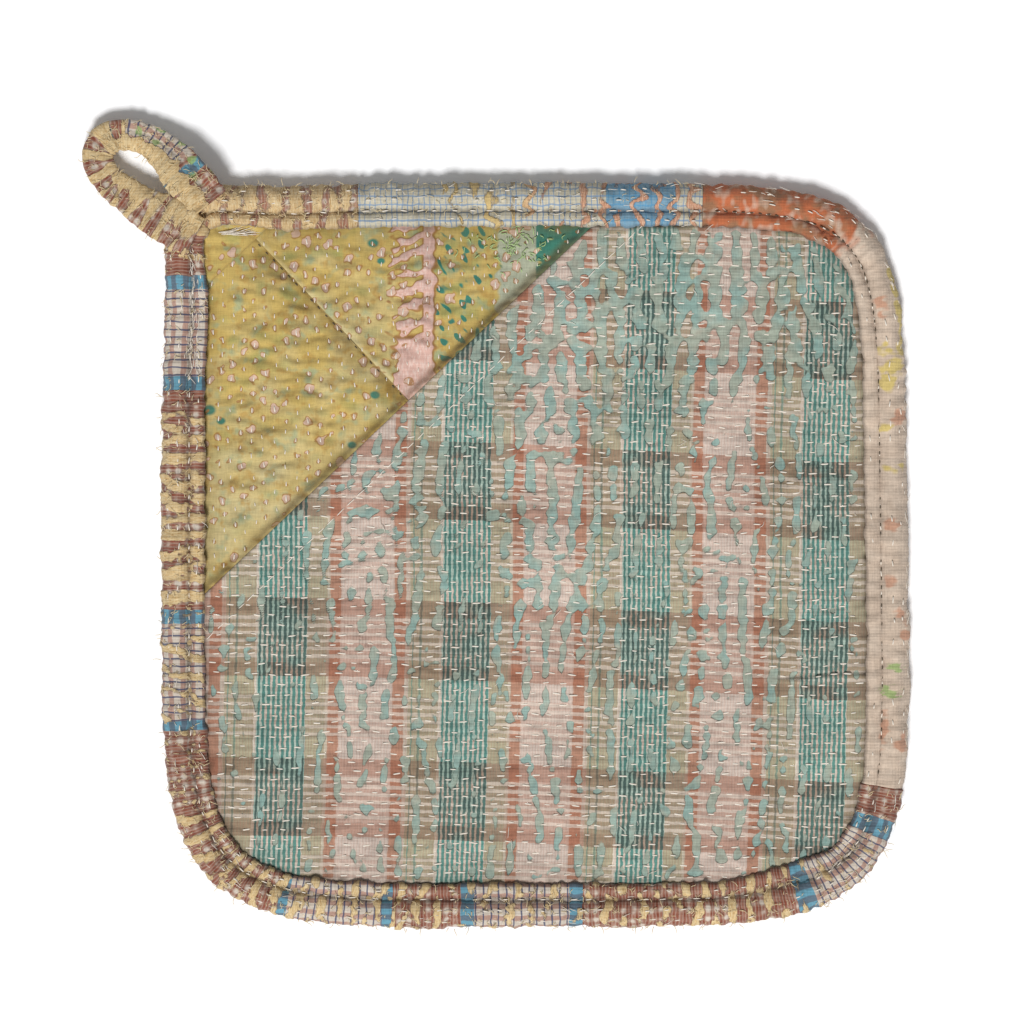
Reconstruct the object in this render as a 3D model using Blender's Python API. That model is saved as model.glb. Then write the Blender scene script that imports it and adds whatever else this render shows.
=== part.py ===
"""Quilted pot holder: a padded square with a corner pocket, a pieced cloth binding and a hanging loop.

The pad lies flat on its back. Z is up, Z = 0 is the table, +X is the pad's right and +Y its top, with
the loop at the top left corner. All lengths are in metres.
"""
import math

import bpy
import bmesh
import numpy as np

MM = 0.001

# Outline of the pad, seen from above
PAD_WIDTH = 200.2 * MM
PAD_HEIGHT = 199.4 * MM
RIGHT_LEAN = 1.35 * MM          # the right side leans out by this much towards the bottom
SQUARENESS_TOP_RIGHT = 6.0      # exponents of the rounded square, corner by corner
SQUARENESS_TOP_LEFT = 6.0
SQUARENESS_BOTTOM_LEFT = 5.0
SQUARENESS_BOTTOM_RIGHT = 5.0
LOOP_CORNER_REACH = 8.9 * MM    # how far the loop's corner is drawn out past the rounding
LOOP_CORNER_SPREAD = math.radians(7.0)

# Layers from the table upwards; CLEARANCE separates every two pieces that touch
CLEARANCE = 0.3 * MM
LIP_THICKNESS = 0.9 * MM
BACK_THICKNESS = 0.8 * MM
BATTING_THICKNESS = 0.8 * MM
BATTING_BELLY = 0.7 * MM        # extra depth of the wadding inside the binding
LINING_THICKNESS = 0.8 * MM
LINING_PUFF = 0.8 * MM          # rise of the lining in the open corner
FACING_THICKNESS = 0.8 * MM
POCKET_THICKNESS = 1.3 * MM
POCKET_PUFF = 1.0 * MM          # rise of the pocket panel in its middle

# Binding
BINDING_WIDTH = 11.6 * MM
BINDING_WALL = 2.7 * MM         # from the outer edge to the layers that it holds
BINDING_ROLL_WIDTH = 7.4 * MM   # the puffed outer roll, up to the stitched groove
ROLL_MIDDLE = 0.42              # top of the roll, as a share of its width
ROLL_SIDE = 0.1                 # the roll's shoulders, as shares of its width and of its height
ROLL_SHOULDER = 0.15
GROOVE_DEPTH = 0.5 * MM
ROLL_CROWN = 0.12 * MM          # rise of the roll above the inner flange
LAP_STEP = 0.8 * MM             # how far the lapped end stands out at the bottom join
LAP_FADE = 30.0 * MM
EDGE_MARGIN = 0.7 * MM          # the quilted layers stop this far short of the binding's inside

# Joins of the binding, as directions from the pad's centre
JOIN_TOP_LEFT = math.radians(115.5)
JOIN_TOP_RIGHT = math.radians(65.7)
JOIN_RIGHT = math.radians(-32.5)
JOIN_BOTTOM = math.radians(-110.6)
LOOP_CORNER = math.radians(135.0)

# Pocket, seam and facing: straight lines across the loop's corner
MOUTH_SLOPE = math.radians(43.5)
MOUTH_REACH = 53.4 * MM         # from the pad's centre to the pocket's folded edge
HEM_WIDTH = 9.7 * MM
HEM_SLIT = 0.2 * MM
HEM_FOLD = 0.9 * MM
FOLD_ROUNDING = 0.5 * MM
SEAM_OFFSET = 3.9 * MM          # from the pad's centre to the seam of the lining
SEAM_LAP = 4.0 * MM
FACING_REACH = 112.9 * MM
FACING_TURN = 0.5               # radians either side of the loop's corner that hold the facing
FACING_POINTS = 33

# Quilting
QUILT_PITCH = 2.68 * MM         # from one row of running stitch to the next
QUILT_DEPTH = 0.22 * MM
LINING_PITCH = 3.6 * MM
ROW_TOLERANCE = 0.1 * MM

# Grid of the quilted layers
ROUNDED_ROWS = (0.15, 0.5, 1.2, 2.4, 4.2, 7.0)  # millimetres in from the flat ends, where corners round off
HIDDEN_ROWS = 10.0 * MM
NARROWEST_CELL = 0.25 * MM
POCKET_SHORTEST_ROW = 12.0 * MM
LINING_SHORTEST_ROW = 4.0 * MM
FINE_DIRECTIONS = 1441

# Hanging loop
LOOP_THICKNESS = 2.8 * MM
LOOP_TIP_WIDTH = 8.3 * MM
LOOP_ROOT_WIDTH = 11.4 * MM
LOOP_STATIONS = 38
LOOP_SIDES = 12
LOOP_FLATNESS = 0.6             # exponent of the section: 1 is an ellipse, less is flatter
LOOP_TIP_SHARE = 0.14           # the tip's width holds this share of the length either side of the middle
LOOP_TAPER_SHARE = 0.22
ROUTE_STEPS = 16
LOOP_LIFT = 0.9 * MM            # how much the free end stands above the root
LOOP_ROUTE = (                  # middle of the tape in millimetres from the pad's centre, root to root
    (-86.8, 94.0),
    (-92.2, 100.6),
    (-98.5, 107.5),
    (-106.5, 112.2),
    (-114.0, 111.8),
    (-117.3, 106.8),
    (-114.6, 100.6),
    (-106.8, 94.6),
    (-98.8, 89.2),
    (-91.0, 84.8),
)

# Stations round the outline
STATION_SPACING = 7.5 * MM
STATION_TURN = math.radians(7.0)

# Worked out from the sizes above
CENTRE_ANGLE = MOUTH_SLOPE + math.pi / 2
HALF_WIDTH = PAD_WIDTH / 2
HALF_HEIGHT = PAD_HEIGHT / 2
HALF_MEAN = (HALF_WIDTH + HALF_HEIGHT) / 2
EDGE_INSET = BINDING_WALL + EDGE_MARGIN

BACK_BOTTOM = LIP_THICKNESS + CLEARANCE
BACK_TOP = BACK_BOTTOM + BACK_THICKNESS
BATTING_BOTTOM = BACK_TOP + CLEARANCE
BATTING_TOP = BATTING_BOTTOM + BATTING_THICKNESS
LINING_BOTTOM = BATTING_TOP + CLEARANCE
LINING_TOP = LINING_BOTTOM + LINING_THICKNESS
POCKET_BOTTOM = LINING_TOP + CLEARANCE
POCKET_TOP = POCKET_BOTTOM + POCKET_THICKNESS
UPPER_LIP_BOTTOM = POCKET_TOP + CLEARANCE
BINDING_TOP = UPPER_LIP_BOTTOM + LIP_THICKNESS
BELLY_WIDTH = 12.0 * MM         # over this width inside the binding the back comes down to the table

COLOURS = {
    "back_panel": (0.42, 0.52, 0.47),
    "batting": (0.83, 0.80, 0.72),
    "lining_left": (0.60, 0.49, 0.20),
    "lining_right": (0.64, 0.52, 0.22),
    "corner_facing": (0.62, 0.52, 0.24),
    "pocket_panel": (0.40, 0.45, 0.38),
    "binding_left": (0.46, 0.35, 0.22),
    "binding_bottom": (0.38, 0.26, 0.20),
    "binding_right": (0.60, 0.48, 0.37),
    "binding_top_check": (0.36, 0.44, 0.50),
    "binding_top_left": (0.52, 0.41, 0.24),
    "hanging_loop": (0.54, 0.42, 0.24),
}


def clear_scene():
    """Remove the objects that the scene starts with."""
    for item in list(bpy.data.objects):
        bpy.data.objects.remove(item, do_unlink=True)


def cloth(name):
    """Plain woven cloth in the piece's main colour."""
    material = bpy.data.materials.new(name + "_cloth")
    material.use_nodes = True
    shader = material.node_tree.nodes["Principled BSDF"]
    shader.inputs["Base Color"].default_value = (*COLOURS[name], 1.0)
    shader.inputs["Roughness"].default_value = 0.92
    shader.inputs["Metallic"].default_value = 0.0
    return material


def smooth(value):
    """Ease from 0 to 1 with a level start and end."""
    value = np.clip(value, 0.0, 1.0)
    return value * value * (3.0 - 2.0 * value)


def corner_squareness(angle):
    """Exponent of the rounded square in the corner that a direction points to."""
    turn = np.mod(angle, 2 * math.pi)
    return np.select(
        [turn < math.pi / 2, turn < math.pi, turn < 1.5 * math.pi],
        [SQUARENESS_TOP_RIGHT, SQUARENESS_TOP_LEFT, SQUARENESS_BOTTOM_LEFT],
        SQUARENESS_BOTTOM_RIGHT,
    )


def outline_radius(angle):
    """Distance from the pad's centre to its outer edge in a direction.

    A superellipse of the pad's half width and half height, whose right side leans, with the loop's
    corner drawn out by a bell-shaped bump.
    """
    angle = np.asarray(angle, dtype=float)
    power = corner_squareness(angle)
    lean = np.where(np.cos(angle) > 0, RIGHT_LEAN * np.sin(angle), 0.0)
    across = np.abs(np.cos(angle)) / (HALF_WIDTH - lean)
    upwards = np.abs(np.sin(angle)) / HALF_HEIGHT
    radius = (across**power + upwards**power) ** (-1.0 / power)
    off_corner = np.mod(angle - LOOP_CORNER + math.pi, 2 * math.pi) - math.pi
    return radius + LOOP_CORNER_REACH * np.exp(-((off_corner / LOOP_CORNER_SPREAD) ** 2))


def outline_points(angle, inset=0.0):
    """Points of the outline in these directions, drawn in by an inset."""
    angle = np.asarray(angle, dtype=float)
    radius = outline_radius(angle) * (1.0 - inset / HALF_MEAN)
    return np.stack([radius * np.cos(angle), radius * np.sin(angle)], axis=-1)


def inset_of(x, y):
    """How far a point lies inside the outer edge, on the scale of outline_points."""
    angle = np.arctan2(y, x)
    return (1.0 - np.hypot(x, y) / outline_radius(angle)) * HALF_MEAN


def stations(start, end, spacing=STATION_SPACING, turn=STATION_TURN):
    """Directions from start to end, closer together where the outline turns."""
    fine = np.linspace(start, end, FINE_DIRECTIONS)
    points = outline_points(fine)
    steps = np.diff(points, axis=0)
    length = np.hypot(steps[:, 0], steps[:, 1])
    heading = np.unwrap(np.arctan2(steps[:, 1], steps[:, 0]))
    bend = np.abs(np.diff(heading, append=heading[-1]))
    cost = np.concatenate([[0.0], np.cumsum(length / spacing + bend / turn)])
    count = max(2, int(math.ceil(cost[-1])) + 1)
    return np.interp(np.linspace(0.0, cost[-1], count), cost, fine)


def row_span(y, inset):
    """Left and right ends of a level line across the outline drawn in by an inset, if it crosses it."""
    ring = outline_points(np.linspace(0.0, 2 * math.pi, FINE_DIRECTIONS), inset)
    low, high = ring[:-1], ring[1:]
    crosses = (low[:, 1] - y) * (high[:, 1] - y) <= 0
    if not crosses.any():
        return None
    low, high = low[crosses], high[crosses]
    rise = high[:, 1] - low[:, 1]
    share = np.where(rise == 0, 0.0, (y - low[:, 1]) / np.where(rise == 0, 1.0, rise))
    meets = low[:, 0] + share * (high[:, 0] - low[:, 0])
    return float(meets.min()), float(meets.max())


def finish_object(name, mesh, collection, frame_empty):
    """Give a mesh its name, cloth and place in the pot holder."""
    item = bpy.data.objects.new(name, mesh)
    item.data.materials.append(cloth(name))
    collection.objects.link(item)
    item.parent = frame_empty
    return item


def skin(name, sections):
    """Skin a row of closed sections that have the same number of points, and cap both ends."""
    sections = np.asarray(sections)
    count, points, _ = sections.shape
    index = np.arange(count * points).reshape(count, points)
    ahead = np.roll(index, -1, axis=1)
    walls = np.stack([index[:-1], ahead[:-1], ahead[1:], index[1:]], axis=-1).reshape(-1, 4)
    faces = walls.tolist() + [index[0][::-1].tolist(), index[-1].tolist()]
    mesh = bpy.data.meshes.new(name)
    mesh.from_pydata(sections.reshape(-1, 3).tolist(), [], faces)
    shape = bmesh.new()
    shape.from_mesh(mesh)
    bmesh.ops.recalc_face_normals(shape, faces=shape.faces)
    bmesh.ops.triangulate(shape, faces=shape.faces)
    shape.to_mesh(mesh)
    shape.free()
    return mesh


def rings(profile):
    """Sections that follow the pad's outline, one for each inset and height of a profile."""
    around = stations(LOOP_CORNER, LOOP_CORNER + 2 * math.pi)[:-1]
    loops = []
    for inset, height in profile:
        ring = outline_points(around, inset)
        loops.append(np.column_stack([ring, np.full(len(ring), height)]))
    return loops


def build_back(collection, frame_empty):
    """Underside cloth: held in the binding at its edge, flat on the table inside it."""
    rim = BINDING_WALL + CLEARANCE
    inner = BINDING_WIDTH + CLEARANCE
    belly = inner + BELLY_WIDTH
    profile = [
        (belly, BACK_TOP - BATTING_BELLY),
        (inner, BACK_TOP),
        (rim, BACK_TOP),
        (rim, BACK_BOTTOM),
        (inner, BACK_BOTTOM),
        (belly, 0.0),
    ]
    return finish_object("back_panel", skin("back_panel", rings(profile)), collection, frame_empty)


def build_batting(collection, frame_empty):
    """Wadding between the back and the lining, deeper inside the binding."""
    rim = BINDING_WALL + CLEARANCE
    inner = BINDING_WIDTH + CLEARANCE
    belly = inner + BELLY_WIDTH
    profile = [
        (belly, BATTING_TOP),
        (rim, BATTING_TOP),
        (rim, BATTING_BOTTOM),
        (inner, BATTING_BOTTOM),
        (belly, BATTING_BOTTOM - BATTING_BELLY),
    ]
    return finish_object("batting", skin("batting", rings(profile)), collection, frame_empty)


def row_heights(pitch, fine_from, fine_to, coarse):
    """Levels of the rows of a panel: close together where its quilting shows, else coarse."""
    bottom = outline_points(-math.pi / 2, EDGE_INSET)[1]
    top = outline_points(math.pi / 2, EDGE_INSET)[1]
    rounding = np.array(ROUNDED_ROWS) * MM
    half = pitch / 2
    fine = np.arange(math.ceil(fine_from / half), math.floor(fine_to / half) + 1) * half
    below = np.arange(bottom + rounding[-1] + coarse, fine_from - coarse / 2, coarse)
    above = np.arange(fine_to + coarse, top - rounding[-1] - coarse / 2, coarse)
    levels = np.concatenate([bottom + rounding, below, fine, above, top - rounding])
    return np.unique(np.round(levels, 7))


def inner_ends(y, left, right):
    """Where a level row passes the binding's lips, or its own ends where it runs along under them."""
    return row_span(y, BINDING_WIDTH + CLEARANCE) or (left, right)


def columns_through(marks, cells, least=NARROWEST_CELL):
    """Columns of a level row: through its marks in order, with a number of cells from each to the next."""
    last = marks[-1]
    marks = [min(mark, last) for mark in marks]
    for i, count in enumerate(cells):
        marks[i + 1] = max(marks[i + 1], marks[i] + count * least)
    marks[-1] = last
    for i in reversed(range(len(cells))):
        marks[i] = min(marks[i], marks[i + 1] - cells[i] * least)
    runs = [np.linspace(marks[i], marks[i + 1], count, endpoint=False) for i, count in enumerate(cells)]
    return np.concatenate([*runs, marks[-1:]])


def ribs(y, pitch, depth):
    """Raised by depth midway between two rows of stitches, level at the rows."""
    half_steps = np.round(y / (pitch / 2))
    on_step = np.abs(y - half_steps * pitch / 2) < ROW_TOLERANCE
    return np.where(on_step & (np.mod(half_steps, 2) == 1), depth, 0.0)


def mouth_x(y, reach):
    """Where a level line meets the line across the loop's corner that lies this far from the centre."""
    return (reach - y * math.sin(CENTRE_ANGLE)) / math.cos(CENTRE_ANGLE)


def mouth_y(x):
    """Where an upright line meets the pocket's folded edge."""
    return (MOUTH_REACH - x * math.cos(CENTRE_ANGLE)) / math.sin(CENTRE_ANGLE)


def seam_x(y, shift=0.0):
    """Where a level line meets the seam of the lining, shifted to the seam's right."""
    return (SEAM_OFFSET + shift - y * math.sin(MOUTH_SLOPE)) / math.cos(MOUTH_SLOPE)


def slab_sections(levels, columns_of, heights_of):
    """One closed section for each level: its upper side from left to right and its under side back."""
    sections = []
    for y in levels:
        columns = columns_of(y)
        if columns is None:
            continue
        lower, upper = heights_of(columns, y)
        depth = np.full(len(columns), y)
        over = np.column_stack([columns, depth, upper])
        under = np.column_stack([columns, depth, lower])[::-1]
        sections.append(np.concatenate([over, under]))
    return sections


def build_pocket(collection, frame_empty):
    """Plaid panel over the pad, cut straight across the loop's corner, its hem turned under there."""

    def columns_of(y):
        left, right = row_span(y, EDGE_INSET)
        left = max(left, mouth_x(y, MOUTH_REACH))
        if right - left < POCKET_SHORTEST_ROW:
            return None
        inner_left, inner_right = inner_ends(y, left, right)
        marks = (left, left + FOLD_ROUNDING, inner_left, inner_right, right)
        return columns_through(marks, (1, 1, 4, 1))

    def heights_of(columns, y):
        puff = smooth((inset_of(columns, y) - BINDING_WIDTH) / (2 * BELLY_WIDTH))
        upper = POCKET_TOP + puff * (POCKET_PUFF + ribs(y, QUILT_PITCH, QUILT_DEPTH))
        lower = np.full(len(columns), POCKET_BOTTOM)
        rounding = min(FOLD_ROUNDING, POCKET_THICKNESS / 3)
        upper[0] -= rounding
        lower[0] += rounding
        return lower, upper

    edge = outline_points(np.array([-math.pi / 2, math.pi / 2]), BINDING_WIDTH)[:, 1]
    levels = row_heights(QUILT_PITCH, edge[0], edge[1], QUILT_PITCH)
    mesh = skin("pocket_panel", slab_sections(levels, columns_of, heights_of))
    return finish_object("pocket_panel", mesh, collection, frame_empty)


def build_hem_cutter(cutters, frame_empty):
    """Space between the pocket and its turned-under hem: a thin slit that opens at the hem's raw edge."""
    slit_low = POCKET_BOTTOM + (POCKET_THICKNESS - HEM_SLIT) / 2
    slit_high = slit_low + HEM_SLIT
    below = POCKET_BOTTOM - CLEARANCE
    far_side = HEM_WIDTH + 2 * HEM_SLIT
    profile = [
        (HEM_FOLD, slit_low),
        (HEM_FOLD, slit_high),
        (far_side, slit_high),
        (far_side, below),
        (HEM_WIDTH, below),
        (HEM_WIDTH, slit_low),
    ]
    along = np.array([math.cos(MOUTH_SLOPE), math.sin(MOUTH_SLOPE)])
    inwards = np.array([math.sin(MOUTH_SLOPE), -math.cos(MOUTH_SLOPE)])
    middle = -inwards * MOUTH_REACH
    sections = []
    for side in (-PAD_WIDTH, PAD_WIDTH):
        section = []
        for depth, height in profile:
            spot = middle + along * side + inwards * depth
            section.append((spot[0], spot[1], height))
        sections.append(section)
    cutter = bpy.data.objects.new("hem_slit_cutter", skin("hem_slit_cutter", sections))
    cutters.objects.link(cutter)
    cutter.parent = frame_empty
    cutter.hide_render = True
    cutter.display_type = "WIRE"
    return cutter


def turn_hem(pocket, cutter):
    """Open the slit of the hem in the pocket panel."""
    cut = pocket.modifiers.new("hem", "BOOLEAN")
    cut.operation = "DIFFERENCE"
    cut.solver = "EXACT"
    cut.object = cutter


def lining_upper(columns, y):
    """Upper side of the lining: it puffs up in the open corner between the binding and the pocket."""
    inside = inset_of(columns, y) - BINDING_WIDTH
    beyond_mouth = columns * math.cos(CENTRE_ANGLE) + y * math.sin(CENTRE_ANGLE) - MOUTH_REACH
    before_facing = FACING_REACH - MOUTH_REACH - beyond_mouth
    room = np.minimum(np.minimum(inside, beyond_mouth), before_facing) - CLEARANCE
    puff = smooth(room / BELLY_WIDTH)
    return LINING_TOP + puff * (LINING_PUFF + ribs(y, LINING_PITCH, QUILT_DEPTH))


def build_lining_left(collection, frame_empty):
    """Lower left half of the lining, whose edge runs on under the other half at the seam."""

    def columns_of(y):
        left, right = row_span(y, EDGE_INSET)
        lap_end = min(seam_x(y, SEAM_LAP), right)
        if lap_end - left < LINING_SHORTEST_ROW:
            return None
        seam = min(seam_x(y), lap_end - CLEARANCE)
        inner_left = min(inner_ends(y, left, right)[0], seam - 2 * CLEARANCE)
        mouth = min(mouth_x(y, MOUTH_REACH), seam - 2 * CLEARANCE)
        marks = (left, inner_left, mouth, seam - CLEARANCE, seam, lap_end)
        return columns_through(marks, (1, 3, 1, 1, 1))

    def heights_of(columns, y):
        upper = lining_upper(columns, y)
        upper[-2:] = LINING_BOTTOM + (LINING_THICKNESS - CLEARANCE) / 2
        return np.full(len(columns), LINING_BOTTOM), upper

    seen_from = mouth_y(outline_points(math.pi, BINDING_WIDTH)[0])
    seen_to = outline_points(math.pi / 2, BINDING_WIDTH)[1]
    levels = row_heights(LINING_PITCH, seen_from, seen_to, HIDDEN_ROWS)
    mesh = skin("lining_left", slab_sections(levels, columns_of, heights_of))
    return finish_object("lining_left", mesh, collection, frame_empty)


def build_lining_right(collection, frame_empty):
    """Upper right half of the lining, whose folded edge laps over the other half at the seam."""

    def columns_of(y):
        left, right = row_span(y, EDGE_INSET)
        fold = max(seam_x(y, CLEARANCE), left)
        if right - fold < LINING_SHORTEST_ROW + SEAM_LAP:
            return None
        lap_end = seam_x(y, SEAM_LAP) + CLEARANCE
        inner_right = inner_ends(y, left, right)[1]
        mouth = mouth_x(y, MOUTH_REACH)
        marks = (fold, lap_end, lap_end + CLEARANCE, mouth, inner_right, right)
        return columns_through(marks, (1, 1, 3, 1, 1))

    def heights_of(columns, y):
        lower = np.full(len(columns), LINING_BOTTOM)
        lower[:2] = LINING_BOTTOM + (LINING_THICKNESS + CLEARANCE) / 2
        return lower, lining_upper(columns, y)

    seen_from = MOUTH_REACH * math.sin(CENTRE_ANGLE) + SEAM_OFFSET * math.sin(MOUTH_SLOPE)
    seen_to = outline_points(math.pi / 2, BINDING_WIDTH)[1]
    levels = row_heights(LINING_PITCH, seen_from, seen_to, HIDDEN_ROWS)
    mesh = skin("lining_right", slab_sections(levels, columns_of, heights_of))
    return finish_object("lining_right", mesh, collection, frame_empty)


def build_facing(collection, frame_empty):
    """Triangle of cloth over the corner under the loop."""
    around = np.linspace(LOOP_CORNER - FACING_TURN, LOOP_CORNER + FACING_TURN, FACING_POINTS)
    ring = outline_points(around, EDGE_INSET)
    reach = ring[:, 0] * math.cos(CENTRE_ANGLE) + ring[:, 1] * math.sin(CENTRE_ANGLE)
    corner = ring[reach > FACING_REACH]
    bottom = LINING_TOP + CLEARANCE
    sections = []
    for height in (bottom, bottom + FACING_THICKNESS):
        sections.append(np.column_stack([corner, np.full(len(corner), height)]))
    mesh = skin("corner_facing", sections)
    return finish_object("corner_facing", mesh, collection, frame_empty)


def binding_profile():
    """Section of the binding as insets and heights: a rolled outside that grips the layers' edges."""
    top = BINDING_TOP
    wall = BINDING_WALL
    roll = BINDING_ROLL_WIDTH
    side = ROLL_SIDE * roll
    crown = ROLL_MIDDLE * roll
    return np.array([
        (BINDING_WIDTH, 0.0),
        (crown, 0.0),
        (side, ROLL_SHOULDER * top),
        (0.0, top / 2),
        (side, (1 - ROLL_SHOULDER) * top),
        (crown, top + ROLL_CROWN),
        (roll, top - GROOVE_DEPTH),
        (BINDING_WIDTH - CLEARANCE, top),
        (BINDING_WIDTH, UPPER_LIP_BOTTOM),
        (wall, UPPER_LIP_BOTTOM),
        (wall, LIP_THICKNESS),
        (BINDING_WIDTH, LIP_THICKNESS),
    ])


def build_strip(name, start, end, collection, frame_empty, lapped=False):
    """One strip of the binding, carried round the outline from one join to the next."""
    profile = binding_profile()
    half_gap = CLEARANCE / 2
    first = start + half_gap / float(outline_radius(start))
    last = end - half_gap / float(outline_radius(end))
    angles = stations(first, last)
    edge = outline_points(angles)
    run = np.concatenate([[0.0], np.cumsum(np.hypot(*np.diff(edge, axis=0).T))])
    sections = []
    for angle, travelled in zip(angles, run):
        stand_out = LAP_STEP * max(0.0, 1.0 - travelled / LAP_FADE) if lapped else 0.0
        outer_share = np.clip(1.0 - profile[:, 0] / BINDING_WALL, 0.0, 1.0)
        insets = profile[:, 0] - stand_out * outer_share
        radius = float(outline_radius(angle)) * (1.0 - insets / HALF_MEAN)
        sections.append(
            np.column_stack([radius * math.cos(angle), radius * math.sin(angle), profile[:, 1]])
        )
    return finish_object(name, skin(name, sections), collection, frame_empty)


def smooth_route(points, count):
    """Evenly spaced points along a smooth curve through the route's points."""
    points = np.asarray(points, dtype=float)
    padded = np.vstack([2 * points[0] - points[1], points, 2 * points[-1] - points[-2]])
    before, start, end, after = padded[:-3], padded[1:-2], padded[2:-1], padded[3:]
    share = np.linspace(0.0, 1.0, ROUTE_STEPS, endpoint=False)[None, :, None]
    before, start, end, after = (p[:, None, :] for p in (before, start, end, after))
    curve = 0.5 * (
        2 * start
        + (end - before) * share
        + (2 * before - 5 * start + 4 * end - after) * share**2
        + (3 * start - before - 3 * end + after) * share**3
    )
    curve = np.vstack([curve.reshape(-1, 2), points[-1:]])
    run = np.concatenate([[0.0], np.cumsum(np.hypot(*np.diff(curve, axis=0).T))])
    even = np.linspace(0.0, run[-1], count)
    return np.column_stack([np.interp(even, run, curve[:, axis]) for axis in (0, 1)])


def build_loop(collection, frame_empty):
    """Flat folded tape in a teardrop, both ends sewn down on the binding at the corner."""
    route = smooth_route(np.array(LOOP_ROUTE) * MM, LOOP_STATIONS)
    heading = np.gradient(route, axis=0)
    heading /= np.hypot(*heading.T)[:, None]
    side = np.column_stack([heading[:, 1], -heading[:, 0]])
    share = np.linspace(0.0, 1.0, LOOP_STATIONS)
    to_root = smooth((np.abs(share - 0.5) - LOOP_TIP_SHARE) / LOOP_TAPER_SHARE)
    width = LOOP_TIP_WIDTH + (LOOP_ROOT_WIDTH - LOOP_TIP_WIDTH) * to_root
    middle = BINDING_TOP + ROLL_CROWN + CLEARANCE + LOOP_THICKNESS / 2
    height = middle + LOOP_LIFT * np.sin(math.pi * share)
    turns = (np.arange(LOOP_SIDES) + 0.5) * 2 * math.pi / LOOP_SIDES
    across = np.sign(np.cos(turns)) * np.abs(np.cos(turns)) ** LOOP_FLATNESS
    upwards = np.sign(np.sin(turns)) * np.abs(np.sin(turns)) ** LOOP_FLATNESS
    across /= across.max()
    upwards /= upwards.max()
    sections = []
    for spot, out, wide, lift in zip(route, side, width, height):
        flat = spot[None, :] + out[None, :] * across[:, None] * wide / 2
        sections.append(np.column_stack([flat, lift + upwards * LOOP_THICKNESS / 2]))
    return finish_object("hanging_loop", skin("hanging_loop", sections), collection, frame_empty)


def centre_on_origin(collection, frame_empty):
    """Move the whole pot holder so that the origin is under the middle of its box."""
    bpy.context.view_layer.update()
    meshes = [item.data for item in collection.objects if item.type == "MESH"]
    corners = np.array([tuple(vertex.co) for mesh in meshes for vertex in mesh.vertices])
    low, high = corners.min(axis=0), corners.max(axis=0)
    frame_empty.location = (-(low[0] + high[0]) / 2, -(low[1] + high[1]) / 2, -low[2])


def main():
    clear_scene()
    collection = bpy.data.collections.new("pot_holder")
    cutters = bpy.data.collections.new("cutters")
    bpy.context.scene.collection.children.link(collection)
    bpy.context.scene.collection.children.link(cutters)
    frame_empty = bpy.data.objects.new("pot_holder_frame", None)
    collection.objects.link(frame_empty)

    build_back(collection, frame_empty)
    build_batting(collection, frame_empty)
    build_lining_left(collection, frame_empty)
    build_lining_right(collection, frame_empty)
    build_facing(collection, frame_empty)
    pocket = build_pocket(collection, frame_empty)
    turn_hem(pocket, build_hem_cutter(cutters, frame_empty))

    full_turn = 2 * math.pi
    build_strip("binding_left", LOOP_CORNER, JOIN_BOTTOM + full_turn, collection, frame_empty)
    build_strip("binding_bottom", JOIN_BOTTOM, JOIN_RIGHT, collection, frame_empty, lapped=True)
    build_strip("binding_right", JOIN_RIGHT, JOIN_TOP_RIGHT, collection, frame_empty)
    build_strip("binding_top_check", JOIN_TOP_RIGHT, JOIN_TOP_LEFT, collection, frame_empty)
    build_strip("binding_top_left", JOIN_TOP_LEFT, LOOP_CORNER, collection, frame_empty)
    build_loop(collection, frame_empty)
    centre_on_origin(collection, frame_empty)


main()
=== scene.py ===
"""Quilted pot holder with a corner pocket, dressed around its CAD solids.

Shapes are worked out in millimetres from the pad's centre and moved to the row's frame when a mesh is made.
"""
import math

import bpy
import numpy as np
from bpy.props import FloatProperty, FloatVectorProperty, IntProperty, PointerProperty
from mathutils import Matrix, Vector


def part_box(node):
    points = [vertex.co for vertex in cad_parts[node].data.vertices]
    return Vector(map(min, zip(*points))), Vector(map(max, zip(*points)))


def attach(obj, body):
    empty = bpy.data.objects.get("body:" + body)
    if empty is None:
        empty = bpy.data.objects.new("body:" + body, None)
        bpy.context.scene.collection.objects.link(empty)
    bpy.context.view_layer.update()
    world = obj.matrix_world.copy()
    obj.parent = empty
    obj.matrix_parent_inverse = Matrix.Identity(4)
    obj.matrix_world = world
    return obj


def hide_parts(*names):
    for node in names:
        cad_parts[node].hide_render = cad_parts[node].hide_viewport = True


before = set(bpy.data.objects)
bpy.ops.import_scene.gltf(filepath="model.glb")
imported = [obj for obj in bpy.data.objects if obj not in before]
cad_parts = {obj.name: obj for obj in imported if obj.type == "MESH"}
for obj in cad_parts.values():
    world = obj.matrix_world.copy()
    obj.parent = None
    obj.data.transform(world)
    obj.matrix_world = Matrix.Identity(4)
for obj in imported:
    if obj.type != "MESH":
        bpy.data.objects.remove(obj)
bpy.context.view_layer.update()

bl_info = {
    "name": "Quilted Pot Holder",
    "version": (1, 0, 0),
    "blender": (4, 5, 0),
    "location": "3D View > Sidebar > Pot Holder",
    "description": "Builds a quilted pot holder with a corner pocket, a pieced binding and a hanging loop",
    "category": "Object",
}

MM = 0.001
FULL_TURN = 2 * math.pi
LOOP_CORNER = math.radians(135.0)

# Millimetres: how far the cloths stay clear of the binding's wall, their first and last rows of that outline,
# the pocket's face over its floor, and the radii of the folded edges
CLOTH_MARGIN = 0.7
ROW_MARGIN = 0.15
POCKET_FACE = 1.3
POCKET_FOLD = 0.85
LINING_FOLD = 0.6

# Sides and stations of the threads
STITCH_SIDES = 5
FRAY_SIDES = 4
FRAY_STATIONS = 9

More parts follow.
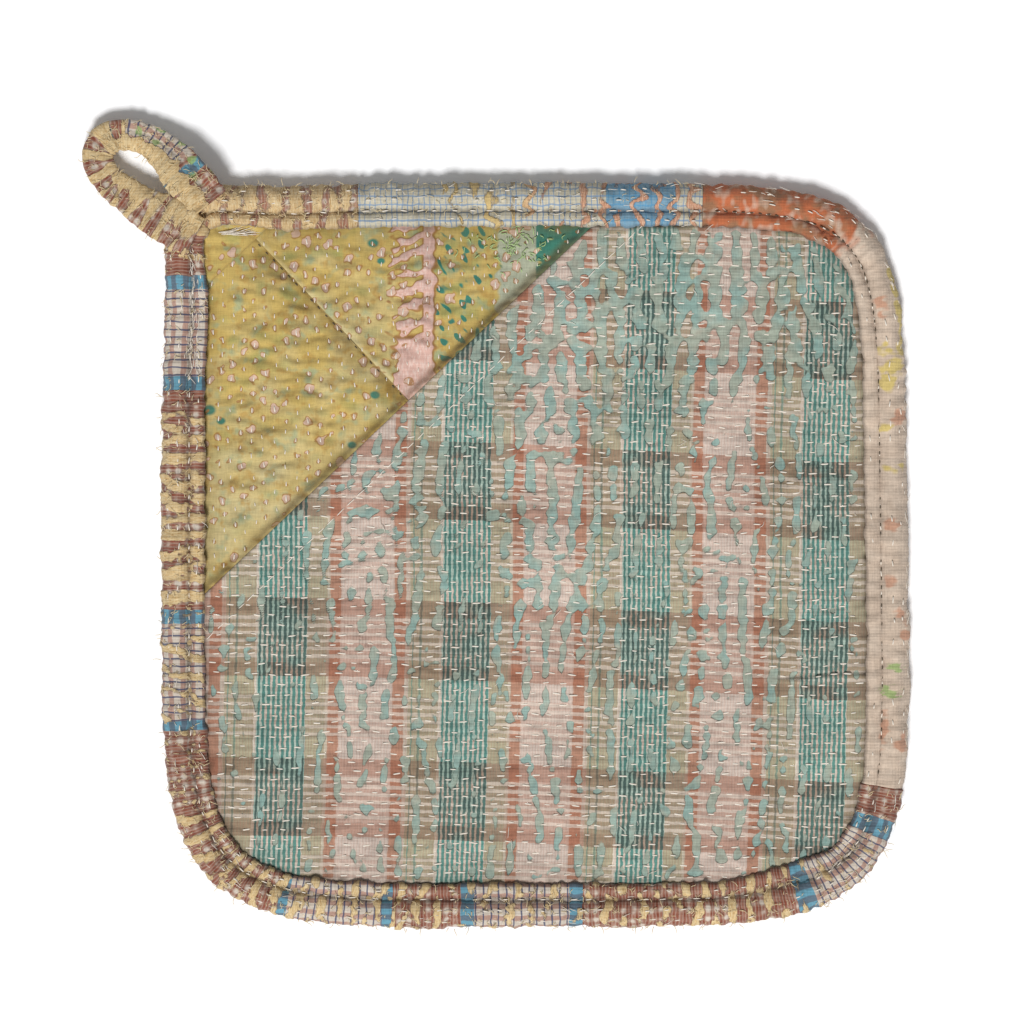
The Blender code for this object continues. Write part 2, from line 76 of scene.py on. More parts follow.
# Joins of the binding, as directions from the pad's centre
JOINS = {
    "binding_left": (135.0, 249.4),
    "binding_bottom": (-110.6, -32.5),
    "binding_right": (-32.5, 65.7),
    "binding_top_check": (65.7, 115.5),
    "binding_top_left": (115.5, 135.0),
}

# Section of the binding: inset from the outer edge and height, round the outside and back through the channel
BINDING_SECTION = np.array([
    (11.4, 0.3), (9.0, 0.05), (4.6, 0.05), (1.7, 0.4), (0.4, 1.7), (0.0, 3.4), (0.3, 5.0), (1.3, 6.4),
    (3.1, 7.85), (4.9, 8.0), (6.5, 7.3), (7.5, 6.3), (8.3, 6.9), (9.5, 7.5), (10.8, 7.35), (11.5, 6.7),
    (11.5, 6.15), (9.0, 6.1), (2.9, 6.1), (2.7, 3.5), (2.9, 0.95), (9.0, 0.95), (11.4, 0.9),
])
SECTION_OUTERMOST = 5
SECTION_FLANGE_END = 16
SECTION_STEPS = 3
GROOVE_INSET = 7.5

# Middle of the loop's tape from the pad's centre, root to root
LOOP_ROUTE = np.array([
    (-86.8, 94.0), (-92.2, 100.6), (-98.5, 107.5), (-106.5, 112.2), (-114.0, 111.8),
    (-117.3, 106.8), (-114.6, 100.6), (-106.8, 94.6), (-98.8, 89.2), (-91.0, 84.8),
])
LOOP_TIP_WIDTH = 8.3
LOOP_ROOT_WIDTH = 11.4


def linear(code):
    """Linear red, green and blue of an sRGB hex colour."""
    values = np.array([int(code[i:i + 2], 16) for i in (1, 3, 5)]) / 255
    return tuple(np.where(values <= 0.04045, values / 12.92, ((values + 0.055) / 1.055) ** 2.4).tolist())


def length(name, description, millimetres):
    """A length that a user can set."""
    return FloatProperty(
        name=name, description=description, default=millimetres * MM, unit="LENGTH", precision=5
    )


def bearing(name, description, degrees):
    """An angle that a user can set."""
    return FloatProperty(name=name, description=description, default=math.radians(degrees), unit="ROTATION")


def colour(name, description, code):
    """A colour that a user can set."""
    return FloatVectorProperty(
        name=name, description=description, default=linear(code), subtype="COLOR", size=3, min=0.0, max=1.0
    )


class PotHolderSizes(bpy.types.PropertyGroup):
    """Sizes of the pad."""

    width: length("Width", "Width of the pad over its binding", 200.2)
    height: length("Height", "Height of the pad over its binding", 199.4)
    right_lean: length("Right lean", "How far the right side leans out towards the bottom", 1.35)
    squareness_top: FloatProperty(
        name="Squareness above", description="Exponent of the top corners", default=6.0
    )
    squareness_bottom: FloatProperty(
        name="Squareness below", description="Exponent of the bottom corners", default=5.0
    )
    corner_reach: length("Corner reach", "How far the loop's corner is drawn out", 8.9)
    corner_spread: bearing("Corner spread", "Half width of the drawn-out corner", 7.0)
    binding: length("Binding", "Width of the binding", 11.6)
    binding_wall: length("Binding wall", "From the outer edge to the layers", 2.7)
    lap: length("Lap", "How far the lapped end stands out at the bottom join", 0.8)
    mouth_slope: bearing("Mouth slope", "Slope of the pocket's folded edge", 43.5)
    mouth_reach: length("Mouth reach", "From the pad's centre to the pocket's folded edge", 53.4)
    hem: length("Hem", "Width of the pocket's hem", 9.7)
    seam: length("Seam", "From the pad's centre to the lining's seam", 3.9)
    facing_reach: length("Facing reach", "From the pad's centre to the corner facing", 112.9)
    pocket_puff: length("Pocket puff", "Rise of the pocket in its middle", 1.0)
    lining_puff: length("Lining puff", "Rise of the lining in the open corner", 0.8)
    loop_thickness: length("Loop thickness", "Thickness of the loop's tape", 2.8)
    loop_drop: length("Loop drop", "How far the loop's free end hangs down", 4.4)


class PotHolderStitches(bpy.types.PropertyGroup):
    """Running stitches and threads."""

    row: length("Row", "From one row of the pocket's quilting to the next", 2.68)
    step: length("Step", "From one stitch to the next along a row", 4.7)
    stitch: length("Stitch", "Length of a stitch", 2.0)
    thread: length("Thread", "Radius of the quilting thread", 0.21)
    seed: IntProperty(name="Seed", description="Seed of the hand's unevenness", default=7)


class PotHolderColours(bpy.types.PropertyGroup):
    """Colours of the cloths and threads."""

    pink: colour("Pink", "Pink cream of the plaid", "#CCBCB0")
    rust: colour("Rust", "Rust stripes of the plaid", "#B38872")
    beige: colour("Beige", "Olive beige stripes of the plaid", "#AEA78C")
    cream: colour("Cream", "Cream threads", "#DACDBE")
    teal: colour("Teal", "Teal threads of the plaid", "#2F8A80")
    dark_teal: colour("Dark teal", "Teal threads where they cross brown ones", "#2E4744")
    inner: colour("Inner cloth", "Grey teal cloth under the worn plaid", "#9CA798")
    inner_blue: colour("Inner cloth, blue", "Bluer parts of that cloth", "#8BAAA2")
    gold: colour("Gold", "Golden lining", "#C1A761")
    olive: colour("Olive", "Olive tint of the lining", "#A09B5C")
    worn: colour("Worn", "Worn spots of the lining", "#CBAC99")
    rim: colour("Rim", "Rust rims of those spots", "#9C6E3C")
    rose_print: colour("Rose print", "Pink stripe of the lining", "#CFA99C")
    jade: colour("Jade", "Jade marks of the lining", "#1C766A")
    grey_green: colour("Grey green", "Grey green stripe of the lining", "#ABAF98")
    mustard: colour("Mustard", "Worn mustard cloth over the binding", "#CFB483")
    maroon: colour("Maroon", "Brown of the check binding", "#804431")
    check_cream: colour("Check cream", "Cream of the check binding", "#C9BDAF")
    navy: colour("Navy", "Navy lines of the check binding", "#3B4564")
    sky: colour("Sky", "Blue bars of the check binding", "#6597AA")
    slate: colour("Slate", "Slate parts of the blue bars", "#5B6D7B")
    sand: colour("Sand", "Beige cloth of the right binding", "#CDBBA9")
    peach: colour("Peach", "Peach and orange patches", "#BE7853")
    yolk: colour("Yolk", "Yellow patches of the right binding", "#CDB765")
    leaf: colour("Leaf", "Green patches", "#93AE68")
    window: colour("Window", "Ground of the blue windowpane check", "#C6BFAA")
    line_blue: colour("Line blue", "Lines of the windowpane check", "#7590AE")
    strong_blue: colour("Strong blue", "Strong blue stretch of that check", "#458BB0")
    thread: colour("Thread", "Quilting thread", "#EEE6DA")
    fray: colour("Fray", "Frayed threads of the mustard cloth", "#E6D3A8")
    green_thread: colour("Green thread", "Frayed green threads", "#B4D08F")
    # Painted shade: the colour of the dark dashes that stand in for the shaded stitch holes along the seams
    dark_thread: colour("Dark thread", "Painted shade of the stitch holes along the seams", "#564A38")
    wadding: colour("Wadding", "Undyed cotton wadding", "#D8D2C0")


class PotHolderStage(bpy.types.PropertyGroup):
    """Camera, light and floor."""

    view_width: length("View width", "Width of the picture at the pad", 274.4)
    view_x: length("View centre X", "Middle of the picture from the pad's centre, to the right", -6.16)
    view_y: length("View centre Y", "Middle of the picture from the pad's centre, upwards", 11.52)
    distance: length("Distance", "Camera's height over the pad", 1300.0)
    key: FloatProperty(name="Key", description="Strength of the low sun", default=2.86, min=0.0)
    key_height: bearing("Key height", "Sun's height over the floor", 54.0)
    key_side: bearing("Key side", "Sun's direction from below the picture, to the left", 12.0)
    fill: FloatProperty(name="Fill", description="Strength of the even light", default=0.26, min=0.0)


def sizes():
    """The pad's sizes in millimetres and radians, by name."""
    group = bpy.context.scene.pot_holder_sizes
    found = {}
    for name, item in group.bl_rna.properties.items():
        if item.type == "FLOAT":
            value = getattr(group, name)
            found[name] = value / MM if item.unit == "LENGTH" else value
    return found


def tint(name):
    """A colour of the palette by its name, or an sRGB hex colour, with full opacity."""
    rgb = linear(name) if name[0] == "#" else getattr(bpy.context.scene.pot_holder_colours, name)
    return (*rgb, 1.0)


def smooth(value):
    """Ease from 0 to 1 with a level start and end."""
    value = np.clip(value, 0.0, 1.0)
    return value * value * (3.0 - 2.0 * value)


def bump_at(x, y, place, reach):
    """A round bell of height 1 at a place, its reach given along x and y."""
    return np.exp(-(((x - place[0]) / reach[0]) ** 2) - ((y - place[1]) / reach[1]) ** 2)


def waves(x, y, across, along, seed, count=26, spread=0.16, fan=1.0):
    """Sum of cosine waves in random directions and phases, all about one wavelength long, with spread 1.

    Its level lines branch and wind like the edges of worn cloth. Across and along are the wavelengths, and a
    narrow fan keeps the waves to directions near the first axis.
    """
    chance = np.random.default_rng(seed)
    total = 0.0
    for _ in range(count):
        turn, phase = chance.uniform(0, FULL_TURN, 2)
        turn = math.pi + (turn - math.pi) * fan
        pace = 1 + spread * chance.standard_normal()
        run = x * math.cos(turn) / across + y * math.sin(turn) / along
        total = total + np.cos(FULL_TURN * pace * run + phase)
    return total * math.sqrt(2 / count)


def level_for(share):
    """Level that such a sum of waves exceeds on a share of the cloth."""
    share = np.clip(share, 0.01, 0.99)
    return 0.62 * np.log((1 - share) / share)


class Pad:
    """The pad's outline and its straight lines, in millimetres from its centre."""

    def __init__(self):
        self.__dict__.update(sizes())
        self.half_width = self.width / 2
        self.half_height = self.height / 2
        self.half_mean = (self.half_width + self.half_height) / 2
        self.across = self.mouth_slope + math.pi / 2
        self.angles = np.linspace(-math.pi, math.pi, 7201)
        radius = self.radius(self.angles)
        self.slants = np.arctan2(-np.gradient(radius, self.angles), radius)
        low = np.array(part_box("batting")[0]) / MM
        rim = 1 - (self.binding_wall + 0.3) / self.half_mean
        self.centre = np.array([low[0] + self.half_width * rim, low[1] + self.half_height * rim, 0.0])

    def radius(self, angle):
        """Superellipse of the half sizes whose right side leans, plus a bell at the loop's corner."""
        power = np.where(np.sin(angle) > 0, self.squareness_top, self.squareness_bottom)
        lean = np.where(np.cos(angle) > 0, self.right_lean * np.sin(angle), 0.0)
        across = np.abs(np.cos(angle)) / (self.half_width - lean)
        upwards = np.abs(np.sin(angle)) / self.half_height
        off = np.mod(angle - LOOP_CORNER + math.pi, FULL_TURN) - math.pi
        bell = self.corner_reach * np.exp(-((off / self.corner_spread) ** 2))
        return (across**power + upwards**power) ** (-1 / power) + bell

    def slant(self, angle):
        """Angle from a direction to the outline's normal there: the arctangent of -radius' / radius."""
        return np.interp(angle, self.angles, self.slants, period=FULL_TURN)

    def drawn_in(self, angle, inset):
        """Radius of the outline drawn in squarely by an inset."""
        return self.radius(angle) - inset / np.cos(self.slant(angle))

    def inset(self, x, y):
        """How far a point lies inside the outer edge."""
        angle = np.arctan2(y, x)
        return (self.radius(angle) - np.hypot(x, y)) * np.cos(self.slant(angle))

    def beyond_mouth(self, x, y):
        """How far a point lies past the pocket's folded edge, towards the loop."""
        return x * math.cos(self.across) + y * math.sin(self.across) - self.mouth_reach

    def right_of_seam(self, x, y):
        """How far a point lies to the right of the lining's seam."""
        return x * math.cos(self.mouth_slope) + y * math.sin(self.mouth_slope) - self.seam

    def mouth_x(self, y):
        """Where level lines meet the pocket's folded edge."""
        return (self.mouth_reach - y * math.sin(self.across)) / math.cos(self.across)

    def seam_x(self, y):
        """Where level lines meet the lining's seam."""
        return (self.seam - y * math.sin(self.mouth_slope)) / math.cos(self.mouth_slope)

    def ring(self, inset, turn=0.0):
        """The outline drawn in by an inset and seen in axes turned by an angle."""
        angle = np.linspace(0, FULL_TURN, 2881)
        radius = self.drawn_in(angle, inset)
        return radius * np.cos(angle - turn), radius * np.sin(angle - turn)

    def row_ends(self, levels, inset, turn=0.0):
        """Left and right ends of level lines across the outline drawn in by an inset."""
        x, y = self.ring(inset, turn)
        top, bottom = np.argmax(y), np.argmin(y)
        order = np.arange(len(x))
        right = (order >= bottom) | (order <= top) if bottom > top else (order >= bottom) & (order <= top)
        ends = []
        for side in (~right, right):
            sorted_side = np.argsort(y[side])
            ends.append(np.interp(levels, y[side][sorted_side], x[side][sorted_side]))
        return ends

    def row_reach(self, inset, turn=0.0):
        """Lowest and highest level of the outline drawn in by an inset."""
        y = self.ring(inset, turn)[1]
        return y.min(), y.max()


class Rows:
    """Rows of running stitch: evenly spaced rows that wander, with every other row set off by half a step."""

    def __init__(self, row, step, seed, upright=False, wander=0.55):
        self.row, self.step, self.seed, self.upright, self.wander = row, step, seed, upright, wander
        self.chance = np.random.default_rng(seed).uniform(-0.5, 0.5, (4, 97, 89))

    def drift(self, along, across):
        """How far the rows wander sideways."""
        return self.wander * waves(along, across, 46.0, 60.0, self.seed + 1, count=9)

    def nearest(self, x, y):
        """Distances along and across from the nearest stitch, and that stitch's own chance."""
        along, across = (y, x) if self.upright else (x, y)
        across = across - self.drift(along, across)
        row = np.round(across / self.row)
        shift = 0.5 * np.mod(row, 2)
        number = np.round(along / self.step - shift)
        own = self.chance[:, row.astype(int) % 97, number.astype(int) % 89]
        off_along = along - (number + shift + 0.4 * own[0]) * self.step
        off_across = across - (row + 0.16 * own[1]) * self.row
        return off_along, off_across, own[2] + 0.5

    def places(self, reach, keep):
        """Middles, headings and chances of the stitches within a reach of the centre that keep() accepts."""
        rows = np.arange(-int(reach / self.row), int(reach / self.row) + 1)
        numbers = np.arange(-int(reach / self.step), int(reach / self.step) + 1)
        row, number = (part.ravel() for part in np.meshgrid(rows, numbers))
        own = self.chance[:, row % 97, number % 89]
        along = (number + 0.5 * (row % 2) + 0.4 * own[0]) * self.step
        across = (row + 0.16 * own[1]) * self.row
        across = across + self.drift(along, across)
        heading = own[3] * 0.35
        x, y = (across, along) if self.upright else (along, across)
        turn = math.pi / 2 - heading if self.upright else heading
        wanted = keep(x, y)
        return x[wanted], y[wanted], turn[wanted], own[2][wanted] + 0.5


def add(tree, kind, inputs=None, **settings):
    """Add a shader node with its settings; an input takes a value, or the node or socket that feeds it."""
    made = tree.nodes.new("ShaderNode" + kind)
    for name, value in settings.items():
        setattr(made, name, value)
    for name, value in (inputs or {}).items():
        if isinstance(value, bpy.types.Node):
            colour_mix = value.bl_idname == "ShaderNodeMix" and value.data_type == "RGBA"
            value = value.outputs[2 if colour_mix else 0]
        if isinstance(value, bpy.types.NodeSocket):
            tree.links.new(value, made.inputs[name])
        else:
            made.inputs[name].default_value = value
    return made


def set_stops(ramp, stops, interpolation="CONSTANT"):
    """Give a colour ramp its stops, as pairs of place and colour or grey value."""
    bar = ramp.color_ramp
    bar.interpolation = interpolation
    for i, (place, value) in enumerate(stops):
        stop = bar.elements[i] if i < 2 else bar.elements.new(1.0)
        stop.position = min(1.0, max(0.0, place))
        stop.color = value if isinstance(value, tuple) else (value, value, value, 1.0)
    return ramp


def cloth_material(name, roughness=0.92, sheen=0.15):
    """A material with its tree and shader: cotton scatters light, with a little bloom from its fibres."""
    material = bpy.data.materials.new(name)
    material.use_nodes = True
    tree = material.node_tree
    shader = tree.nodes["Principled BSDF"]
    shader.inputs["Roughness"].default_value = roughness
    shader.inputs["Specular IOR Level"].default_value = 0.2
    shader.inputs["Sheen Weight"].default_value = sheen
    shader.inputs["Sheen Roughness"].default_value = 0.6
    return material, tree, shader


def weave_normal(tree, shader, layer=None, woven=True):
    """Bump of a plain weave over the edges of a torn layer.

    Real threads lie 0.25 mm apart; they are drawn 0.8 mm apart so that they show.
    """
    place = add(tree, "TexCoord").outputs["Object"]
    height = add(tree, "TexNoise", {"Vector": place, "Scale": 2200.0, "Detail": 3.0, "Roughness": 0.7})
    for direction in "XY" if woven else "":
        threads = add(tree, "TexWave", {"Vector": place, "Scale": 390.0, "Distortion": 2.2, "Detail": 2.0,
                                        "Detail Scale": 0.6}, bands_direction=direction)
        height = add(tree, "Math", {0: threads.outputs[1], 1: height}, operation="ADD")
    bump = add(tree, "Bump", {"Height": height, "Distance": 0.05 * MM, "Strength": 0.7})
    if layer is not None:
        edges = add(tree, "Bump", {"Height": layer, "Distance": 0.22 * MM, "Strength": 1.0})
        tree.links.new(edges.outputs[0], bump.inputs["Normal"])
    tree.links.new(bump.outputs[0], shader.inputs["Normal"])


def thread_grain(tree, under, amount=0.24):
    """Darker and lighter threads and slow stains over a cloth's colour."""
    place = add(tree, "TexCoord").outputs["Object"]
    total = add(tree, "TexNoise", {"Vector": place, "Scale": 60.0, "Detail": 3.0, "Roughness": 0.55})
    for stretch in ((1.0, 0.07, 1.0), (0.07, 1.0, 1.0)):
        run = add(tree, "Mapping", {"Vector": place, "Scale": stretch})
        threads = add(tree, "TexNoise", {"Vector": run, "Scale": 2400.0, "Detail": 2.0, "Roughness": 0.7})
        total = add(tree, "Math", {0: threads, 1: total}, operation="ADD")
    light = add(tree, "MapRange", {0: total, 1: 1.1, 2: 1.9, 3: 1 - amount, 4: 1 + amount})
    shade = add(tree, "CombineColor", {0: light, 1: light, 2: light})
    return add(tree, "Mix", {0: 1.0, 6: under, 7: shade}, data_type="RGBA", blend_type="MULTIPLY")


def field(tree, name, low, high, top=1.0):
    """Mask from one of the piece's point fields: 0 up to the low value, rising to the top at the high one."""
    value = add(tree, "Attribute", attribute_name=name).outputs["Fac"]
    return add(tree, "MapRange", {0: value, 1: low, 2: high, 4: top})


def patches(tree, place, scale, detail, low, high, bottom=0.0, top=1.0):
    """Mask of soft patches: a noise that rises from the bottom to the top between two of its levels."""
    noise = add(tree, "TexNoise", {"Vector": place, "Scale": scale, "Detail": detail})
    return add(tree, "MapRange", {0: noise, 1: low, 2: high, 3: bottom, 4: top})


def paint(tree, cloth, *layers):
    """Lay colours over a cloth in turn; each layer is a mask, the mask's strength and the colour."""
    for mask, strength, over in layers:
        if strength < 1:
            mask = add(tree, "Math", {0: mask, 1: strength}, operation="MULTIPLY")
        cloth = add(tree, "Mix", {0: mask, 6: cloth, 7: over}, data_type="RGBA")
    return cloth


def finish(tree, shader, cloth, grain, layer=None, woven=True):
    """Give the shader its cloth with the grain of the threads, and its weave."""
    tree.links.new(thread_grain(tree, cloth, grain).outputs[2], shader.inputs["Base Color"])
    weave_normal(tree, shader, layer, woven)


def grid_faces(rows, columns, around=False):
    """Quads between neighbouring rows and columns of a grid, joined round at the last column if asked."""
    index = np.arange(rows * columns).reshape(rows, columns)
    if around:
        index = np.concatenate([index, index[:, :1]], axis=1)
    corners = [index[:-1, :-1], index[:-1, 1:], index[1:, 1:], index[1:, :-1]]
    return np.stack(corners, axis=-1).reshape(-1, 4)


def make_piece(name, points, faces, material, fields=None, maps=None):
    """A mesh object in the row's frame, with its point attributes and its named UV maps."""
    mesh = bpy.data.meshes.new(name)
    placed = (np.asarray(points) + PAD.centre) * MM
    mesh.from_pydata(placed.tolist(), [], faces)
    mesh.polygons.foreach_set("use_smooth", [True] * len(mesh.polygons))
    corner = np.zeros(len(mesh.loops), dtype=np.int32)
    mesh.loops.foreach_get("vertex_index", corner)
    for title, values in (maps or {}).items():
        layer = mesh.uv_layers.new(name=title)
        layer.uv.foreach_set("vector", np.asarray(values, dtype=np.float32)[corner].ravel())
    for title, values in (fields or {}).items():
        attribute = mesh.attributes.new(title, "FLOAT", "POINT")
        attribute.data.foreach_set("value", np.asarray(values, dtype=np.float32).ravel())
    mesh.materials.append(material)
    mesh.update()
    item = bpy.data.objects.new(name, mesh)
    bpy.context.scene.collection.objects.link(item)
    return item


def dress(item, node):
    """The piece stands for a solid, which it hides, and rides on the body."""
    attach(item, "root")
    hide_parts(node)


def slab(name, top, floor, material, fields, maps):
    """Close a grid of points over a level floor: walls down its four sides and long faces underneath."""
    rows, columns, _ = top.shape
    count = rows * columns
    left, right = top[:, 0].copy(), top[:, -1].copy()
    left[:, 2] = right[:, 2] = floor
    points = np.concatenate([top.reshape(-1, 3), left, right])
    index = np.arange(count).reshape(rows, columns)
    foot_left = count + np.arange(rows)
    foot_right = foot_left + rows
    walls = [
        np.stack([index[:-1, 0], index[1:, 0], foot_left[1:], foot_left[:-1]], axis=-1),
        np.stack([index[1:, -1], index[:-1, -1], foot_right[:-1], foot_right[1:]], axis=-1),
        np.stack([foot_left[:-1], foot_left[1:], foot_right[1:], foot_right[:-1]], axis=-1),
    ]
    faces = np.concatenate([grid_faces(rows, columns), *walls]).tolist()
    faces.append([int(foot_left[0]), int(foot_right[0]), *index[0, ::-1].tolist()])
    faces.append([*index[-1].tolist(), int(foot_right[-1]), int(foot_left[-1])])
    ends = np.concatenate([np.arange(rows) * columns, np.arange(rows) * columns + columns - 1])

    def with_feet(values):
        values = np.asarray(values)
        flat = values.reshape(count, -1)
        return np.concatenate([flat, flat[ends]])

    fields = {key: with_feet(value) for key, value in fields.items()}
    maps = {key: with_feet(value) for key, value in maps.items()}
    return make_piece(name, points, faces, material, fields, maps)


def lay_threads(name, x, y, z, turn, side, up, material):
    """Many threads in one mesh, closed at both ends, that ride on the body.

    Each station of a thread has a ring of points: its middle, plus side times the unit vector square to the
    thread's heading, plus up on the height.
    """
    points = np.stack([
        x[..., None] - np.sin(turn)[..., None] * side, y[..., None] + np.cos(turn)[..., None] * side,
        z[..., None] + up,
    ], axis=-1)
    count, stations, sides, _ = points.shape
    starts = np.arange(count)[:, None] * stations * sides
    ring = np.arange(sides)
    quads = (grid_faces(stations, sides, around=True) + starts[..., None]).reshape(-1, 4)
    ends = np.concatenate([starts + ring[::-1], starts + (stations - 1) * sides + ring])
    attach(make_piece(name, points.reshape(-1, 3), quads.tolist() + ends.tolist(), material), "root")


def sew(name, x, y, z, turn, half, radius, rise, material):
    """Stitches: short threads that taper, rise by 1 - 1.6 share^2 and dive into the cloth at both ends."""
    share = np.array([-1.0, -0.62, 0.0, 0.62, 1.0])
    girth = np.array([0.35, 1.0, 1.0, 1.0, 0.35])[:, None] * np.broadcast_to(radius, x.shape)[:, None, None]
    spin = np.arange(STITCH_SIDES) * FULL_TURN / STITCH_SIDES
    x, y, z, turn, half = (part[:, None] for part in (x, y, z, turn, half))
    lay_threads(name, x + half * share * np.cos(turn), y + half * share * np.sin(turn),
                z + rise * (1 - 1.6 * share**2), turn, girth * np.cos(spin), 0.75 * girth * np.sin(spin),
                material)


def fray(name, starts, heading, reach, curl, radius, seed, material):
    """Loose threads: each bends away from its start in a smooth arc that also rises and falls."""
    chance = np.random.default_rng(seed)
    count = len(starts)
    share = np.linspace(0, 1, FRAY_STATIONS)
    bend = curl * chance.standard_normal((count, 1))
    second = curl * chance.standard_normal((count, 1))
    turn = heading[:, None] + bend * share + second * np.sin(math.pi * share)
    step = reach[:, None] / (FRAY_STATIONS - 1)
    lift = chance.uniform(0.1, 0.5, (count, 1))
    lift = lift * np.sin(math.pi * share * chance.uniform(0.6, 1.2, (count, 1)))
    spin = np.arange(FRAY_SIDES) * FULL_TURN / FRAY_SIDES
    taper = radius * (1 - 0.5 * share**3)[:, None]
    x = starts[:, :1] + np.cumsum(np.cos(turn) * step, axis=1)
    y = starts[:, 1:2] + np.cumsum(np.sin(turn) * step, axis=1)
    z = starts[:, 2:] + lift - 0.15 * (share == 0)
    lay_threads(name, x, y, z, turn, taper * np.cos(spin), taper * np.sin(spin), material)


# Photographed pad: 0.268 mm to the pixel, so a place is given in those steps from the pad's centre
STEP = 0.268


def plaid_phase(x, y):
    """Phases of the plaid: columns from teal stripe to teal stripe, and bands from brown pair to brown pair.

    The columns lean to the left at the bottom and the bands sink to the right, as the cloth was pulled.
    """
    left, up = x / STEP, y / STEP
    lean = np.interp(up, [-330, -245, -145, -45, 95, 305], [8.5, 5.0, 2.5, 0.0, 0.0, -6.0])
    column = left + lean + 276
    phase = np.where(column < 184, column / 184, 1 + (column - 184) / 179)
    sink = np.interp(left, [-300, -195, -15, 65, 155, 295], [-16, -15, -9, -4, 0, 9])
    band = (-up - sink - 58) / 160
    return np.stack([phase + 4, band + 4], axis=-1)


# Places on the pocket in those steps, reaches along x and y, and how much more or less is worn there
WEAR_PLACES = (
    ((65, 235), (140, 95), 0.46), ((225, 265), (95, 70), 0.36), ((5, 80), (60, 110), 0.16),
    ((-130, 60), (65, 85), 0.2), ((205, 145), (42, 38), -0.26), ((25, -35), (42, 40), 0.30),
    ((170, -60), (75, 90), 0.14), ((290, 180), (45, 90), 0.16), ((-240, -220), (90, 120), -0.10),
    ((110, -270), (60, 60), -0.03), ((-165, -150), (60, 130), 0.08), ((190, -240), (70, 90), 0.04),
)


def pocket_rows():
    """The plan of the pocket's quilting."""
    plan = bpy.context.scene.pot_holder_stitches
    return Rows(plan.row / MM, plan.step / MM, plan.seed)


def pocket_wear(x, y):
    """Above 0 where the plaid has worn away: winding waves, more where the hand rubs, less at stitches."""
    share = 0.17
    for place, reach, amount in WEAR_PLACES:
        share = share + amount * bump_at(x / STEP, y / STEP, place, reach)
    phase = np.mod(plaid_phase(x, y)[..., 0], 1.0)
    striped = smooth((0.29 - np.abs(phase - 0.13)) / 0.06 - 1.8) * (1 - 0.55 * smooth((y / STEP - 120) / 100))
    share = np.clip(share * (1 - 0.5 * striped), 0.02, 0.75)
    threshold = level_for(share) - 0.32
    blobs = 0.98 * waves(x, y, 5.0, 10.0, 31, count=36, spread=0.2, fan=0.2)
    blobs = blobs + 0.42 * waves(y, x, 6.5, 8.0, 33, count=24, spread=0.25, fan=0.25)
    nicks = waves(x, y, 2.2, 2.6, 32)
    along, across, own = pocket_rows().nearest(x, y)
    hold = np.exp(-((along / 1.55) ** 2) - (across / 1.0) ** 2)
    edge = np.minimum(PAD.inset(x, y) - PAD.binding - 1.2, -PAD.beyond_mouth(x, y) - 1.2)
    return blobs + 0.2 * nicks - (0.5 + 0.8 * own) * hold - threshold - 2.0 * smooth(-edge / 2.0 + 0.5)


def gathers(x, y, pitch, reach, seed):
    """Small folds square to the binding that die away inwards."""
    angle = np.arctan2(y, x)
    run = angle * 112.0
    inside = np.maximum(PAD.inset(x, y) - PAD.binding, 0.0)
    fold = np.cos(FULL_TURN * run / pitch + 1.4 * waves(run, inside, 17.0, 9.0, seed))
    return fold * np.exp(-inside / reach)


def pocket_height(x, y):
    """Height of the pocket's face: a pillow, dips at the stitches, ridges between rows, a hem and a pleat."""
    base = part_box("pocket_panel")[0].z / MM + POCKET_FACE
    inside = PAD.inset(x, y) - PAD.binding
    pillow = PAD.pocket_puff * smooth(inside / 24.0)
    along, across, own = pocket_rows().nearest(x, y)
    dip = np.exp(-((across / 0.62) ** 2)) * smooth(1.6 - np.abs(along) / 1.1)
    ridges = 0.5 + 0.5 * np.cos(FULL_TURN * (across / pocket_rows().row - 0.5))
    slow = waves(x, y, 44.0, 30.0, 5, count=12)
    ripple = waves(x, y, 7.0, 4.6, 6) + 0.6 * waves(x, y, 2.9, 2.2, 8)
    inwards = -PAD.beyond_mouth(x, y)
    hem = smooth((PAD.hem + 0.4 - inwards) / 0.8) - 0.6 * np.exp(-(((inwards - PAD.hem + 0.5) / 0.45) ** 2))
    pleat_line = y / STEP + 119 + 3 * np.sin(x / STEP / 18)
    pleat_share = smooth((x / STEP - 232) / 30)
    pleat = 0.8 * np.exp(-(((pleat_line + 4) / 3.0) ** 2)) - 1.1 * np.exp(-((pleat_line / 2.2) ** 2))
    pleat = pleat * pleat_share
    worn = smooth(pocket_wear(x, y) / 0.25 + 0.5)
    height = base + pillow + 0.42 * slow * smooth(inside / 10.0) + 0.12 * ripple + 0.15 * ridges
    height = height - 0.26 * dip * (0.6 + 0.4 * own) + 0.42 * hem + 0.8 * pleat - 0.2 * worn
    return height + 0.16 * gathers(x, y, 4.1, 3.2, 9) * smooth(inside / 1.2)


